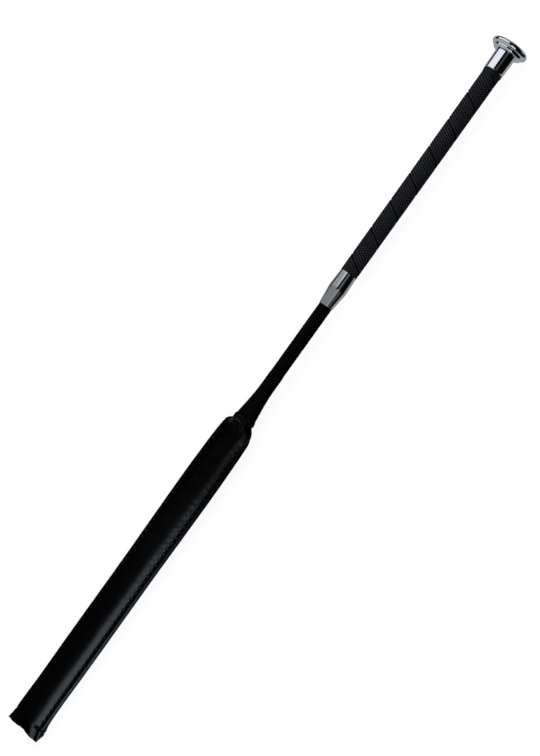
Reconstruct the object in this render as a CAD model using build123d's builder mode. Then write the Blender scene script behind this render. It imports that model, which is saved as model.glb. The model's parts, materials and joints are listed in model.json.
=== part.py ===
"""Padded riding whip, in millimetres.

The whip lies along X. The middle of the cap's flat face is the origin, +X looks out of
that face, and the pad lies flat, with its width along Y and its thickness along Z.
"""
import math
import os

from build123d import *

os.makedirs("parts", exist_ok=True)

# ================================================================ driving dimensions
# Lengths along the whip, from the cap's face back to the tail
cap_length = 24.9
end_ring_length = 4.4
grip_length = 190.0
ferrule_length = 31.0
bare_shaft_length = 64.7
binding_length = 41.6
pad_length = 295.0

# Rod, its sheath and the braided cover, which all taper towards the tail
rod_radius = 3.4
rod_tip_radius = 1.6
rod_tip_inset = 22.0
sheath_thickness = 1.1
cover_thickness = 0.9
tip_guard_wall = 0.9
tip_guard_length = 9.0

# Cap
cap_wall = 0.8
liner_wall = 1.95
liner_head_web = 4.0
socket_flare = 0.35
step_radius = 12.75
step_thickness = 2.5
step_corner_radius = 2.0
rim_roll_radius = 2.5
rim_roll_overhang = 0.35
face_disc_thickness = 1.4
face_disc_proud = 0.25

# Grip
sleeve_wall_at_cap = 0.7
sleeve_wall_at_ferrule = 0.4
tape_thickness = 1.1
tape_pitch = 25.9
tape_seam_gap = 1.0
tape_seam_angle = 125.0
end_ring_rise = 0.6

# Ferrule
ferrule_wall = 0.5
ferrule_grip_step = 0.06
ferrule_ridge_rise = 0.6
ferrule_ridge_from_grip = 15.0
ferrule_ridge_round = 14.0
bush_setback = 5.0

# Thread binding and cord tie of the neck
binding_thickness = 0.35
binding_straight_length = 13.0
flare_end_steepness = 1.4
leather_neck_length = 19.0
neck_leather_thickness = 2.35
tie_cord_radius = 0.7
tie_turns = 4

# Pad
pad_half_width = 15.7
margin_width = 3.7
leather_thickness = 1.5
liner_thickness = 1.0
liner_setback = 0.3
foam_over_rod = 0.9
shoulder_radius = 9.5
tail_half_height = 5.2
tail_slope_length = 26.0
tail_end_steepness = 0.15

# Stitching
stitch_pitch = 5.3
stitch_length = 4.2
stitch_from_crown = 0.9
stitch_tail_inset = 6.0
stitch_shoulder_inset = 12.0
stitch_groove_depth = 0.5
thread_width = 0.9
thread_height = 0.7
tack_tail_inset = 10.0
tack_edge_inset = 0.5

# Clearances
fit_clearance = 0.05
soft_clearance = 0.1
groove_clearance = 0.2
butt_gap = 0.1

# ================================================================ sizes worked out
# Radii, from the rod outwards
sheath_radius = rod_radius + fit_clearance + sheath_thickness
sheath_tip_radius = rod_tip_radius + fit_clearance + sheath_thickness
cover_radius = sheath_radius + fit_clearance + cover_thickness
cover_tip_radius = sheath_tip_radius + fit_clearance + cover_thickness
sleeve_radius_at_cap = cover_radius + fit_clearance + sleeve_wall_at_cap
sleeve_radius_at_ferrule = cover_radius + fit_clearance + sleeve_wall_at_ferrule
grip_radius_at_cap = sleeve_radius_at_cap + fit_clearance + tape_thickness
grip_radius_at_ferrule = sleeve_radius_at_ferrule + fit_clearance + tape_thickness
end_ring_radius = grip_radius_at_cap + end_ring_rise
ferrule_grip_radius = grip_radius_at_ferrule + ferrule_grip_step
ferrule_ridge_radius = ferrule_grip_radius + ferrule_ridge_rise
ferrule_tip_radius = cover_radius + fit_clearance + ferrule_wall
socket_mouth_radius = cover_radius + fit_clearance + liner_wall + fit_clearance + cap_wall
socket_root_radius = socket_mouth_radius + socket_flare
head_radius = step_radius - cap_wall
rim_roll_centre = step_radius + rim_roll_overhang
binding_radius = cover_radius + fit_clearance + binding_thickness
neck_radius = cover_radius + fit_clearance + neck_leather_thickness
binding_wide_radius = neck_radius + fit_clearance + binding_thickness
tie_coil_radius = neck_radius + fit_clearance + tie_cord_radius

# Pad cross-section and stitch rows
pad_half_height = cover_radius + foam_over_rod + leather_thickness
margin_half_thickness = leather_thickness + liner_thickness / 2
crown_half_width = pad_half_width - margin_width
stitch_row_y = crown_half_width + stitch_from_crown
stitch_floor = margin_half_thickness - stitch_groove_depth
stitch_groove_width = thread_width + 2 * groove_clearance

# Stations along X
cap_end = -cap_length
grip_start = cap_end - end_ring_length
grip_end = grip_start - grip_length
ferrule_end = grip_end - ferrule_length
binding_start = ferrule_end - bare_shaft_length
binding_straight_end = binding_start - binding_straight_length
binding_end = binding_start - binding_length
leather_neck_start = binding_end + leather_neck_length
tie_pitch = 2 * tie_cord_radius + fit_clearance
pad_start = binding_end - tie_turns * tie_pitch - fit_clearance
pad_tail = pad_start - pad_length
face_disc_back = -face_disc_thickness
rod_top = face_disc_back - liner_head_web
rod_tip = pad_tail + rod_tip_inset
rim_roll_x = -face_disc_proud - rim_roll_radius
step_back = rim_roll_x - rim_roll_radius - step_thickness
ridge_x = grip_end - ferrule_ridge_from_grip
guard_mouth = rod_tip + tip_guard_length
guard_end = rod_tip - butt_gap - 2 * tip_guard_wall


# ================================================================ rod and its layers
def tapered_half(radius, tip_radius):
    """Half section of a layer of the rod: parallel as far as the binding, then tapered."""
    with BuildSketch(Plane.XY) as half:
        with BuildLine():
            Polyline(
                (rod_top - butt_gap, 0),
                (rod_top - butt_gap, radius),
                (binding_start, radius),
                (rod_tip, tip_radius),
                (rod_tip, 0),
                close=True,
            )
        make_face()
    return half.sketch


def cover_radius_at(x):
    """Outside radius of the braided cover at a station on its taper."""
    share = (binding_start - x) / (binding_start - rod_tip)
    return cover_radius + (cover_tip_radius - cover_radius) * share


with BuildPart() as core_rod:
    revolve(tapered_half(rod_radius, rod_tip_radius), axis=Axis.X)
    chamfer(core_rod.edges().filter_by(GeomType.CIRCLE).sort_by(Axis.X)[-1], 0.6)
core_rod.part.label = "core_rod"
export_step(core_rod.part, "parts/core_rod.step")

with BuildPart() as rod_sheath:
    revolve(tapered_half(sheath_radius, sheath_tip_radius), axis=Axis.X)
    revolve(
        tapered_half(rod_radius + fit_clearance, rod_tip_radius + fit_clearance),
        axis=Axis.X,
        mode=Mode.SUBTRACT,
    )
rod_sheath.part.label = "rod_sheath"
export_step(rod_sheath.part, "parts/rod_sheath.step")

with BuildPart() as braided_cover:
    revolve(tapered_half(cover_radius, cover_tip_radius), axis=Axis.X)
    revolve(
        tapered_half(sheath_radius + fit_clearance, sheath_tip_radius + fit_clearance),
        axis=Axis.X,
        mode=Mode.SUBTRACT,
    )
braided_cover.part.label = "braided_cover"
export_step(braided_cover.part, "parts/braided_cover.step")

guard_radius = cover_radius_at(guard_mouth) + fit_clearance + tip_guard_wall
with BuildPart() as rod_tip_guard:
    with BuildSketch(Plane.YZ.offset(guard_end)):
        Circle(guard_radius)
    extrude(amount=guard_mouth - guard_end)
    fillet(rod_tip_guard.faces().sort_by(Axis.X)[0].edges(), 2 * tip_guard_wall)
    with BuildSketch(Plane.XY):
        with BuildLine():
            Polyline(
                (rod_tip - butt_gap, 0),
                (rod_tip - butt_gap, cover_tip_radius + fit_clearance),
                (guard_mouth, cover_radius_at(guard_mouth) + fit_clearance),
                (guard_mouth, 0),
                close=True,
            )
        make_face()
    revolve(axis=Axis.X, mode=Mode.SUBTRACT)
rod_tip_guard.part.label = "rod_tip_guard"
export_step(rod_tip_guard.part, "parts/rod_tip_guard.step")

# ================================================================ cap
with BuildPart() as cap_shell:
    with BuildSketch(Plane.XY) as cap_section:
        with BuildLine():
            Polyline(
                (cap_end, 0),
                (cap_end, socket_mouth_radius),
                (step_back, socket_root_radius),
                (step_back, step_radius),
                (rim_roll_x, step_radius),
                (rim_roll_x, 0),
                close=True,
            )
        make_face()
        step_corner = cap_section.vertices().group_by(Axis.Y)[-1].sort_by(Axis.X)[0]
        fillet(step_corner, step_corner_radius)
        with Locations((rim_roll_x, rim_roll_centre)):
            Circle(rim_roll_radius)
            Circle(rim_roll_radius - cap_wall, mode=Mode.SUBTRACT)
        with BuildLine():
            Polyline(
                (cap_end, 0),
                (cap_end, socket_mouth_radius - cap_wall),
                (step_back + cap_wall, socket_root_radius - cap_wall),
                (step_back + cap_wall, head_radius),
                (0, head_radius),
                (0, 0),
                close=True,
            )
        make_face(mode=Mode.SUBTRACT)
    revolve(axis=Axis.X)
    mouth_edges = cap_shell.edges().filter_by(GeomType.CIRCLE).group_by(Axis.X)[0]
    chamfer(mouth_edges.sort_by(SortBy.RADIUS)[-1], 0.35)
cap_shell.part.label = "cap_shell"
export_step(cap_shell.part, "parts/cap_shell.step")

with BuildPart() as cap_face_disc:
    with BuildSketch(Plane.YZ):
        Circle(head_radius - fit_clearance)
    extrude(amount=-face_disc_thickness)
    chamfer(cap_face_disc.faces().sort_by(Axis.X)[-1].edges(), 0.2)
cap_face_disc.part.label = "cap_face_disc"
export_step(cap_face_disc.part, "parts/cap_face_disc.step")

liner_step = step_back + cap_wall + fit_clearance
with BuildPart() as cap_liner:
    with BuildSketch(Plane.XY):
        with BuildLine():
            Polyline(
                (cap_end + cap_wall, cover_radius + fit_clearance),
                (cap_end + cap_wall, socket_mouth_radius - cap_wall - fit_clearance),
                (liner_step, socket_root_radius - cap_wall - fit_clearance),
                (liner_step, head_radius - fit_clearance),
                (face_disc_back - fit_clearance, head_radius - fit_clearance),
                (face_disc_back - fit_clearance, 0),
                (rod_top, 0),
                (rod_top, cover_radius + fit_clearance),
                close=True,
            )
        make_face()
    revolve(axis=Axis.X)
cap_liner.part.label = "cap_liner"
export_step(cap_liner.part, "parts/cap_liner.step")

# ================================================================ grip
with BuildPart() as grip_sleeve:
    with BuildSketch(Plane.XY):
        with BuildLine():
            Polyline(
                (cap_end - butt_gap, cover_radius + fit_clearance),
                (cap_end - butt_gap, sleeve_radius_at_cap),
                (grip_start, sleeve_radius_at_cap),
                (grip_end + butt_gap, sleeve_radius_at_ferrule),
                (grip_end + butt_gap, cover_radius + fit_clearance),
                close=True,
            )
        make_face()
    revolve(axis=Axis.X)
grip_sleeve.part.label = "grip_sleeve"
export_step(grip_sleeve.part, "parts/grip_sleeve.step")

# The tape is wound left-handed: its seam is a helix that runs past both ends of the grip
seam_turns = math.ceil(grip_length / tape_pitch) + 2
with BuildPart() as seam_cutter:
    with BuildLine() as seam_line:
        Helix(
            pitch=tape_pitch,
            height=seam_turns * tape_pitch,
            radius=grip_radius_at_ferrule,
            center=(grip_start + (1 - seam_turns) * tape_pitch, 0, 0),
            direction=(1, 0, 0),
            lefthand=True,
        )
    seam_start = seam_line.line @ 0
    with BuildSketch(Plane(seam_start, x_dir=(1, 0, 0), z_dir=seam_line.line % 0)):
        Rectangle(tape_seam_gap, 6 * tape_thickness)
    sweep(is_frenet=True)
seam_start_angle = math.degrees(math.atan2(seam_start.Z, seam_start.Y))

with BuildPart() as grip_tape:
    with BuildSketch(Plane.XY):
        with BuildLine():
            Polyline(
                (grip_start - butt_gap, grip_radius_at_cap - tape_thickness),
                (grip_start - butt_gap, grip_radius_at_cap),
                (grip_end + butt_gap, grip_radius_at_ferrule),
                (grip_end + butt_gap, grip_radius_at_ferrule - tape_thickness),
                close=True,
            )
        make_face()
    revolve(axis=Axis.X)
    add(
        seam_cutter.part.rotate(Axis.X, tape_seam_angle - seam_start_angle),
        mode=Mode.SUBTRACT,
    )
grip_tape.part.label = "grip_tape"
export_step(grip_tape.part, "parts/grip_tape.step")

with BuildPart() as grip_end_ring:
    with BuildSketch(Plane.XY):
        with BuildLine():
            Polyline(
                (cap_end - butt_gap, sleeve_radius_at_cap + fit_clearance),
                (cap_end - butt_gap, end_ring_radius),
                (cap_end - end_ring_length / 2, end_ring_radius),
                (grip_start, grip_radius_at_cap),
                (grip_start, sleeve_radius_at_cap + fit_clearance),
                close=True,
            )
        make_face()
    revolve(axis=Axis.X)
    fillet(grip_end_ring.edges().filter_by(GeomType.CIRCLE).group_by(SortBy.RADIUS)[-1], 0.5)
grip_end_ring.part.label = "grip_end_ring"
export_step(grip_end_ring.part, "parts/grip_end_ring.step")


# ================================================================ ferrule
def ferrule_half(shrink):
    """Half section of the ferrule's outside, drawn in by shrink, down to the axis."""
    with BuildSketch(Plane.XY) as half:
        with BuildLine():
            Polyline(
                (grip_end, 0),
                (grip_end, ferrule_grip_radius - shrink),
                (ridge_x, ferrule_ridge_radius - shrink),
                (ferrule_end, ferrule_tip_radius - shrink),
                (ferrule_end, 0),
                close=True,
            )
        make_face()
        fillet(half.vertices().sort_by(Axis.Y)[-1], ferrule_ridge_round)
    return half.sketch


with BuildPart() as ferrule:
    revolve(ferrule_half(0), axis=Axis.X)
    revolve(ferrule_half(ferrule_wall), axis=Axis.X, mode=Mode.SUBTRACT)
    end_edges = ferrule.edges().filter_by(GeomType.CIRCLE).group_by(Axis.X)
    lips = [end_edges[0].sort_by(SortBy.RADIUS)[-1], end_edges[-1].sort_by(SortBy.RADIUS)[-1]]
    fillet(lips, 0.3)
ferrule.part.label = "ferrule"
export_step(ferrule.part, "parts/ferrule.step")

with BuildPart() as ferrule_bush:
    revolve(ferrule_half(ferrule_wall + fit_clearance), axis=Axis.X)
    split(bisect_by=Plane.YZ.offset(ferrule_end + bush_setback), keep=Keep.TOP)
    with BuildSketch(Plane.YZ.offset(ferrule_end)):
        Circle(cover_radius + fit_clearance)
    extrude(amount=ferrule_length, mode=Mode.SUBTRACT)
ferrule_bush.part.label = "ferrule_bush"
export_step(ferrule_bush.part, "parts/ferrule_bush.step")


# ================================================================ neck
def neck_half(shrink):
    """Half section of the neck under the binding's outside, drawn in by shrink."""
    flare = (binding_wide_radius - binding_radius) / (binding_straight_end - binding_end)
    root_x = pad_start - shoulder_radius
    with BuildSketch(Plane.XY) as half:
        with BuildLine():
            straight = Line(
                (binding_start, binding_radius - shrink),
                (binding_straight_end, binding_radius - shrink),
            )
            curve = Spline(
                straight @ 1,
                (binding_end, binding_wide_radius - shrink),
                tangents=((-1, 0), (-1, flare_end_steepness * flare)),
            )
            Polyline(
                curve @ 1,
                (root_x, binding_wide_radius - shrink),
                (root_x, 0),
                (binding_start, 0),
                straight @ 0,
            )
        make_face()
    return half.sketch


def leather_neck(shrink):
    """The gathered leather that runs up under the binding, solid down to the axis."""
    with BuildPart() as neck:
        revolve(neck_half(binding_thickness + shrink), axis=Axis.X)
        split(bisect_by=Plane.YZ.offset(leather_neck_start - shrink), keep=Keep.BOTTOM)
    return neck.part


def rod_space(clearance):
    """The room that the covered rod and its tip guard take, with clearance all round."""
    with BuildPart() as space:
        revolve(
            tapered_half(cover_radius + clearance, cover_tip_radius + clearance),
            axis=Axis.X,
        )
        with BuildSketch(Plane.YZ.offset(guard_end - clearance)):
            Circle(guard_radius + clearance)
        extrude(amount=guard_mouth - guard_end + 2 * clearance)
    return space.part


with BuildPart() as neck_binding:
    revolve(neck_half(0), axis=Axis.X)
    split(bisect_by=Plane.YZ.offset(binding_end), keep=Keep.TOP)
    add(leather_neck(0), mode=Mode.SUBTRACT)
    add(rod_space(fit_clearance), mode=Mode.SUBTRACT)
neck_binding.part.label = "neck_binding"
export_step(neck_binding.part, "parts/neck_binding.step")

# One length of cord, each turn a round ridge against the next, flat on the leather
with BuildPart() as neck_tie:
    with BuildSketch(Plane.XY):
        with Locations(((binding_end + pad_start) / 2, tie_coil_radius)):
            with GridLocations(tie_pitch, 0, tie_turns, 1):
                Circle(tie_pitch / 2)
        with Locations(((binding_end + pad_start) / 2, neck_radius + fit_clearance)):
            Rectangle(
                (tie_turns - 1) * tie_pitch + tie_cord_radius,
                tie_cord_radius,
                align=(Align.CENTER, Align.MIN),
            )
    revolve(axis=Axis.X)
neck_tie.part.label = "neck_tie"
export_step(neck_tie.part, "parts/neck_tie.step")


# ================================================================ pad
def pad_body(inset, setback=0.0):
    """The pad's form, drawn in by inset on its faces and shoulder, by setback at its edges.

    It is carved from three outlines: the crowned cross-section with its flat margins, the
    plan with its rounded shoulders, and the side view that flattens towards the tail.
    """
    half_height = pad_half_height - inset
    half_margin = margin_half_thickness - inset
    half_width = pad_half_width - setback
    front_x = pad_start - inset
    back_x = pad_tail + setback
    slope_x = pad_tail + tail_slope_length
    tail_height = tail_half_height - inset
    with BuildPart() as body:
        with BuildSketch(Plane.YZ.offset(back_x)):
            with BuildLine():
                crown = ThreePointArc(
                    (-crown_half_width, half_margin),
                    (0, half_height),
                    (crown_half_width, half_margin),
                )
                Polyline(crown @ 1, (half_width, half_margin), (half_width, 0))
                Polyline(crown @ 0, (-half_width, half_margin), (-half_width, 0))
                Line((-half_width, 0), (half_width, 0))
            make_face()
            mirror(about=Plane.XZ)
        extrude(amount=front_x - back_x)
        with BuildSketch(Plane.XY) as plan:
            with Locations(((front_x + back_x) / 2, 0)):
                Rectangle(front_x - back_x, 2 * half_width)
            fillet(plan.vertices().group_by(Axis.X)[-1], shoulder_radius)
        extrude(amount=pad_half_height, both=True, mode=Mode.INTERSECT)
        with BuildSketch(Plane.XZ):
            with BuildLine():
                top = Line((front_x, half_height), (slope_x, half_height))
                fall = Spline(
                    top @ 1,
                    (back_x, tail_height),
                    tangents=((-1, 0), (-1, -tail_end_steepness)),
                )
                Polyline(fall @ 1, (back_x, 0), (front_x, 0), top @ 0)
            make_face()
            mirror(about=Plane.XZ)
        extrude(amount=pad_half_width, both=True, mode=Mode.INTERSECT)
    return body.part


def keep_side(face):
    """Cut the part in hand at its middle plane and keep the upper (+1) or lower (-1) side."""
    side = Keep.TOP if face > 0 else Keep.BOTTOM
    split(bisect_by=Plane.XY.offset(face * butt_gap / 2), keep=side)


# Each row holds as many whole stitches as fit between its two ends
row_start = pad_tail + stitch_tail_inset
stitch_count = int((pad_start - stitch_shoulder_inset - row_start) / stitch_pitch)
row_middle = row_start + stitch_count * stitch_pitch / 2
tack_x = pad_tail + tack_tail_inset
tack_inner_y = stitch_row_y + thread_width / 2 + fit_clearance
tack_outer_y = pad_half_width - tack_edge_inset
tack_y = (tack_inner_y + tack_outer_y) / 2
tack_length = tack_outer_y - tack_inner_y


def stitch_grooves(face):
    """The grooves on one face that both stitch rows and their tail tacks lie in."""
    with BuildPart() as grooves:
        with BuildSketch(Plane.XY.offset(face * stitch_floor)):
            with Locations((row_middle, stitch_row_y), (row_middle, -stitch_row_y)):
                Rectangle(stitch_count * stitch_pitch, stitch_groove_width)
            with Locations((tack_x, tack_y), (tack_x, -tack_y)):
                Rectangle(stitch_groove_width, tack_length + 2 * groove_clearance)
        extrude(amount=face * 2 * thread_height)
    return grooves.part


def leather_panel(face):
    """One leather face of the pad: its crown, margins and gathered neck."""
    with BuildPart() as panel:
        add(pad_body(0))
        add(leather_neck(fit_clearance))
        add(pad_body(leather_thickness), mode=Mode.SUBTRACT)
        add(rod_space(fit_clearance), mode=Mode.SUBTRACT)
        keep_side(face)
        add(stitch_grooves(face), mode=Mode.SUBTRACT)
    return panel.part


def foam_half(face):
    """One half of the padding, channelled for the covered rod."""
    with BuildPart() as foam:
        add(pad_body(leather_thickness + soft_clearance, setback=liner_setback))
        add(rod_space(soft_clearance), mode=Mode.SUBTRACT)
        keep_side(face)
    return foam.part


def stitch_outline(length, rotation=0):
    """One stitch from above: a length of thread that narrows into its needle holes."""
    half_length = length / 2
    half_width = thread_width / 2
    shank = half_length - half_width
    Polygon(
        (-half_length, 0),
        (-shank, half_width),
        (shank, half_width),
        (half_length, 0),
        (shank, -half_width),
        (-shank, -half_width),
        rotation=rotation,
    )


def seam_thread(side):
    """One edge seam, on the side of Y given by its sign: both faces' stitches and tacks."""
    with BuildPart() as thread:
        for face in (1, -1):
            with BuildSketch(Plane.XY.offset(face * stitch_floor)):
                with Locations((row_middle, side * stitch_row_y)):
                    with GridLocations(stitch_pitch, 0, stitch_count, 1):
                        stitch_outline(stitch_length)
                with Locations((tack_x, side * tack_y)):
                    stitch_outline(tack_length, rotation=90)
            extrude(amount=face * thread_height)
    return thread.part


with BuildPart() as pad_upper_leather:
    add(leather_panel(1))
pad_upper_leather.part.label = "pad_upper_leather"
export_step(pad_upper_leather.part, "parts/pad_upper_leather.step")

with BuildPart() as pad_lower_leather:
    add(leather_panel(-1))
pad_lower_leather.part.label = "pad_lower_leather"
export_step(pad_lower_leather.part, "parts/pad_lower_leather.step")

with BuildPart() as pad_upper_foam:
    add(foam_half(1))
pad_upper_foam.part.label = "pad_upper_foam"
export_step(pad_upper_foam.part, "parts/pad_upper_foam.step")

with BuildPart() as pad_lower_foam:
    add(foam_half(-1))
pad_lower_foam.part.label = "pad_lower_foam"
export_step(pad_lower_foam.part, "parts/pad_lower_foam.step")

with BuildPart() as seam_thread_near:
    add(seam_thread(-1))
seam_thread_near.part.label = "seam_thread_near"
export_step(seam_thread_near.part, "parts/seam_thread_near.step")

with BuildPart() as seam_thread_far:
    add(seam_thread(1))
seam_thread_far.part.label = "seam_thread_far"
export_step(seam_thread_far.part, "parts/seam_thread_far.step")
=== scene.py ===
"""A padded riding whip, dressed in its finishes and lit on a plain floor.

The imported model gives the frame: the whip lies along X, the middle of the cap's flat face is
the origin, and the pad lies flat, its width along Y and its thickness along Z. The edge at +Y
is called far and the edge at -Y near. Every length is in metres.
"""

import json
import logging
import math
from dataclasses import dataclass
from enum import Enum
from typing import Optional, Sequence, Union

import bmesh
import bpy
import numpy as np
from mathutils import Matrix, Vector

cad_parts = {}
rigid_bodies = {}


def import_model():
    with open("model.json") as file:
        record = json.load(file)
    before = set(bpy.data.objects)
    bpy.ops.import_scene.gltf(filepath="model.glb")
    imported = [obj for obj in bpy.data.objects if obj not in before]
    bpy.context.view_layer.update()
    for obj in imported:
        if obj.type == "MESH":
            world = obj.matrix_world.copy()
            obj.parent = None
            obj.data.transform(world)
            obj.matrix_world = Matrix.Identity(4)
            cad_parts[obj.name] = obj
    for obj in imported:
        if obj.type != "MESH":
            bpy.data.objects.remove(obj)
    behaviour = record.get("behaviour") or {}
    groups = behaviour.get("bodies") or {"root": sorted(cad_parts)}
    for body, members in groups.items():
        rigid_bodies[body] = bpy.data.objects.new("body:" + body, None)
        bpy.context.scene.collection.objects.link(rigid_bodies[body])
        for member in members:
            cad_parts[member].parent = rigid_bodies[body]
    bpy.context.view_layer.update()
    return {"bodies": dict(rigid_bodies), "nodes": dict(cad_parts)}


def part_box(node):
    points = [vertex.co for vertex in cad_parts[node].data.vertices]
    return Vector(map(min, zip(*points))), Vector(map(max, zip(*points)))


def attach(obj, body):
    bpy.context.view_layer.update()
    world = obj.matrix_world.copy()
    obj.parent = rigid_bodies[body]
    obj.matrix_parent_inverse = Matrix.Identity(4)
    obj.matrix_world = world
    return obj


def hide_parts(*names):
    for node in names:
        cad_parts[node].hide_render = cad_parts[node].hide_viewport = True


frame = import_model()

logging.basicConfig(level=logging.INFO, format="%(message)s")
log = logging.getLogger("whip")

MM = 0.001
BODY = sorted(frame["bodies"])[0]
PAINTED_LIGHT = "painted_light"

Triple = tuple[float, float, float]
Colour = Triple
Span = tuple[float, float]
Curve = tuple[Span, ...]
Reading = Union[float, np.ndarray]
Marks = Union[int, np.ndarray]
Setting = Union["Value", float, Sequence[float], bpy.types.NodeSocket]
Settings = Optional[dict[str, object]]
Inputs = Optional[dict[Union[str, int], Setting]]


# ---------------------------------------------------------------- shader expressions
class Value:
    """A number that varies over a surface, so that shader maths reads as plain sums."""

    def __init__(self, graph: "Graph", socket: bpy.types.NodeSocket) -> None:
        """Hold a graph's output that carries the number."""
        self.graph = graph
        self.socket = socket

    def math(self, operation: str, *terms: Setting, clamp: bool = False) -> "Value":
        """Add one Math node.

        Args:
            operation: The Math node's operation.
            terms: Its inputs, in order.
            clamp: Whether the result is kept between 0 and 1.

        Returns:
            The node's result.
        """
        settings = {"operation": operation, "use_clamp": clamp}
        return self.graph.value(0, "ShaderNodeMath", settings, dict(enumerate(terms)))

    def __add__(self, other: Setting) -> "Value":
        """Sum."""
        return self.math("ADD", self, other)

    __radd__ = __add__

    def __sub__(self, other: Setting) -> "Value":
        """Difference."""
        return self.math("SUBTRACT", self, other)

    def __rsub__(self, other: Setting) -> "Value":
        """Difference, with the number first."""
        return self.math("SUBTRACT", other, self)

    def __mul__(self, other: Setting) -> "Value":
        """Product."""
        return self.math("MULTIPLY", self, other)

    __rmul__ = __mul__

    def __truediv__(self, other: Setting) -> "Value":
        """Quotient."""
        return self.math("DIVIDE", self, other)

    def __pow__(self, other: Setting) -> "Value":
        """Power."""
        return self.math("POWER", self, other)

    def sine(self) -> "Value":
        """Sine of the value in radians."""
        return self.math("SINE", self)

    def clamped(self) -> "Value":
        """The value kept between 0 and 1."""
        return self.math("ADD", self, 0.0, clamp=True)

    def angle_from(self, other: "Value") -> "Value":
        """Angle whose sine goes with this value and whose cosine goes with the other."""
        return self.math("ARCTAN2", self, other)

    def step(self, low: float, high: float) -> "Value":
        """A smooth rise from 0 at low to 1 at high."""
        inputs = {"Value": self, "From Min": low, "From Max": high}
        return self.graph.value(
            "Result", "ShaderNodeMapRange", {"interpolation_type": "SMOOTHSTEP"}, inputs
        )


class Graph:
    """The node tree of one finish, or of the surround."""

    def __init__(self, owner: Union[bpy.types.Material, bpy.types.World]) -> None:
        """Take over a node tree and empty it.

        Args:
            owner: The material or the world that the nodes are for.
        """
        owner.use_nodes = True
        self.tree = owner.node_tree
        self.tree.nodes.clear()

    def node(
        self, kind: str, settings: Settings = None, inputs: Inputs = None
    ) -> bpy.types.Node:
        """Add any node.

        Args:
            kind: The node's type.
            settings: The node's own options, set before its sockets.
            inputs: What its sockets hold or are joined to, by name or place.

        Returns:
            The node.
        """
        made = self.tree.nodes.new(kind)
        for name, choice in (settings or {}).items():
            setattr(made, name, choice)
        for name, source in (inputs or {}).items():
            held = source.socket if isinstance(source, Value) else source
            if isinstance(held, bpy.types.NodeSocket):
                self.tree.links.new(held, made.inputs[name])
            else:
                made.inputs[name].default_value = held
        return made

    def value(
        self, output: Union[str, int], kind: str, settings: Settings = None, inputs: Inputs = None
    ) -> Value:
        """Add any node and take the number that one of its outputs carries."""
        return Value(self, self.node(kind, settings, inputs).outputs[output])

    def point(self) -> bpy.types.NodeSocket:
        """The point on the whip."""
        return self.node("ShaderNodeTexCoord").outputs["Object"]

    def axes(self) -> list[Value]:
        """The point's X, Y and Z."""
        parts = self.node("ShaderNodeSeparateXYZ", inputs={0: self.point()})
        return [Value(self, output) for output in parts.outputs]

    def rays(self) -> tuple[Value, Value]:
        """Find out what a ray that meets the surface belongs to.

        Returns:
            1 where the camera sees the surface, and 1 where it shows in a reflection.
        """
        ray = self.node("ShaderNodeLightPath").outputs
        seen = Value(self, ray["Is Camera Ray"]) + Value(self, ray["Is Transmission Ray"])
        return seen, Value(self, ray["Is Glossy Ray"])

    def noise(self, size: float, detail: float = 2.0, squeeze: Triple = (1, 1, 1)) -> Value:
        """Cloudy noise.

        Args:
            size: Size of its larger blotches.
            detail: How many finer layers it has.
            squeeze: How much shorter the blotches are along X, Y and Z.

        Returns:
            A value from 0 to 1.
        """
        sides = {0: self.point(), 1: squeeze}
        squeezed = self.node("ShaderNodeVectorMath", {"operation": "MULTIPLY"}, sides)
        inputs = {"Vector": squeezed.outputs[0], "Scale": 1 / size, "Detail": detail}
        return self.value("Fac", "ShaderNodeTexNoise", inputs=inputs)

    def cells(self, size: float) -> Value:
        """Distance to the nearest of scattered points, as a share of a cell of this size."""
        inputs = {"Vector": self.point(), "Scale": 1 / size}
        return self.value("Distance", "ShaderNodeTexVoronoi", inputs=inputs)

    def blend(self, share: Setting, low: Colour, high: Colour) -> bpy.types.NodeSocket:
        """A colour between two others, the first at a share of 0 and the second at 1."""
        inputs = {0: share, 6: (*low, 1.0), 7: (*high, 1.0)}
        return self.node("ShaderNodeMix", {"data_type": "RGBA"}, inputs).outputs[2]

    def relief(self, height: Value, depth: float, strength: float) -> bpy.types.NodeSocket:
        """The surface's normal, tilted by a share of a depth and used at some strength."""
        inputs = {"Height": height, "Distance": depth, "Strength": strength}
        return self.node("ShaderNodeBump", inputs=inputs).outputs["Normal"]

    def surface(
        self,
        colour: Setting,
        roughness: Setting,
        normal: bpy.types.NodeSocket,
        shine: float = 0.5,
        metallic: float = 0.0,
    ) -> None:
        """End the tree in one surface shader.

        Args:
            colour: The surface's own colour.
            roughness: How dull it is.
            normal: Which way it faces.
            shine: How strongly it reflects, where it isn't metal.
            metallic: 1 for metal.
        """
        inputs = {"Base Color": colour, "Roughness": roughness, "Normal": normal}
        inputs |= {"Specular IOR Level": shine, "Metallic": metallic}
        self.end("ShaderNodeOutputMaterial", self.node("ShaderNodeBsdfPrincipled", inputs=inputs))

    def end(self, kind: str, shader: bpy.types.Node) -> None:
        """Join the last shader to the tree's output."""
        self.node(kind, inputs={"Surface": shader.outputs[0]})


# ---------------------------------------------------------------- finishes
def toned(colour: Colour, share: float) -> Colour:
    """A colour made paler or darker."""
    return tuple(share * part for part in colour)


@dataclass(frozen=True)
class Finish:
    """A surface finish, made once and shared by all that wears it."""

    name: str

    def paint(self, graph: Graph) -> None:
        """Fill in the finish's nodes."""
        raise NotImplementedError

    def material(self) -> bpy.types.Material:
        """Make the finish's material, or find it if it is made already.

        Returns:
            The material.
        """
        title = f"{self.name}_finish"
        made = bpy.data.materials.get(title)
        if made is None:
            made = bpy.data.materials.new(title)
            self.paint(Graph(made))
        return made


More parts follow.
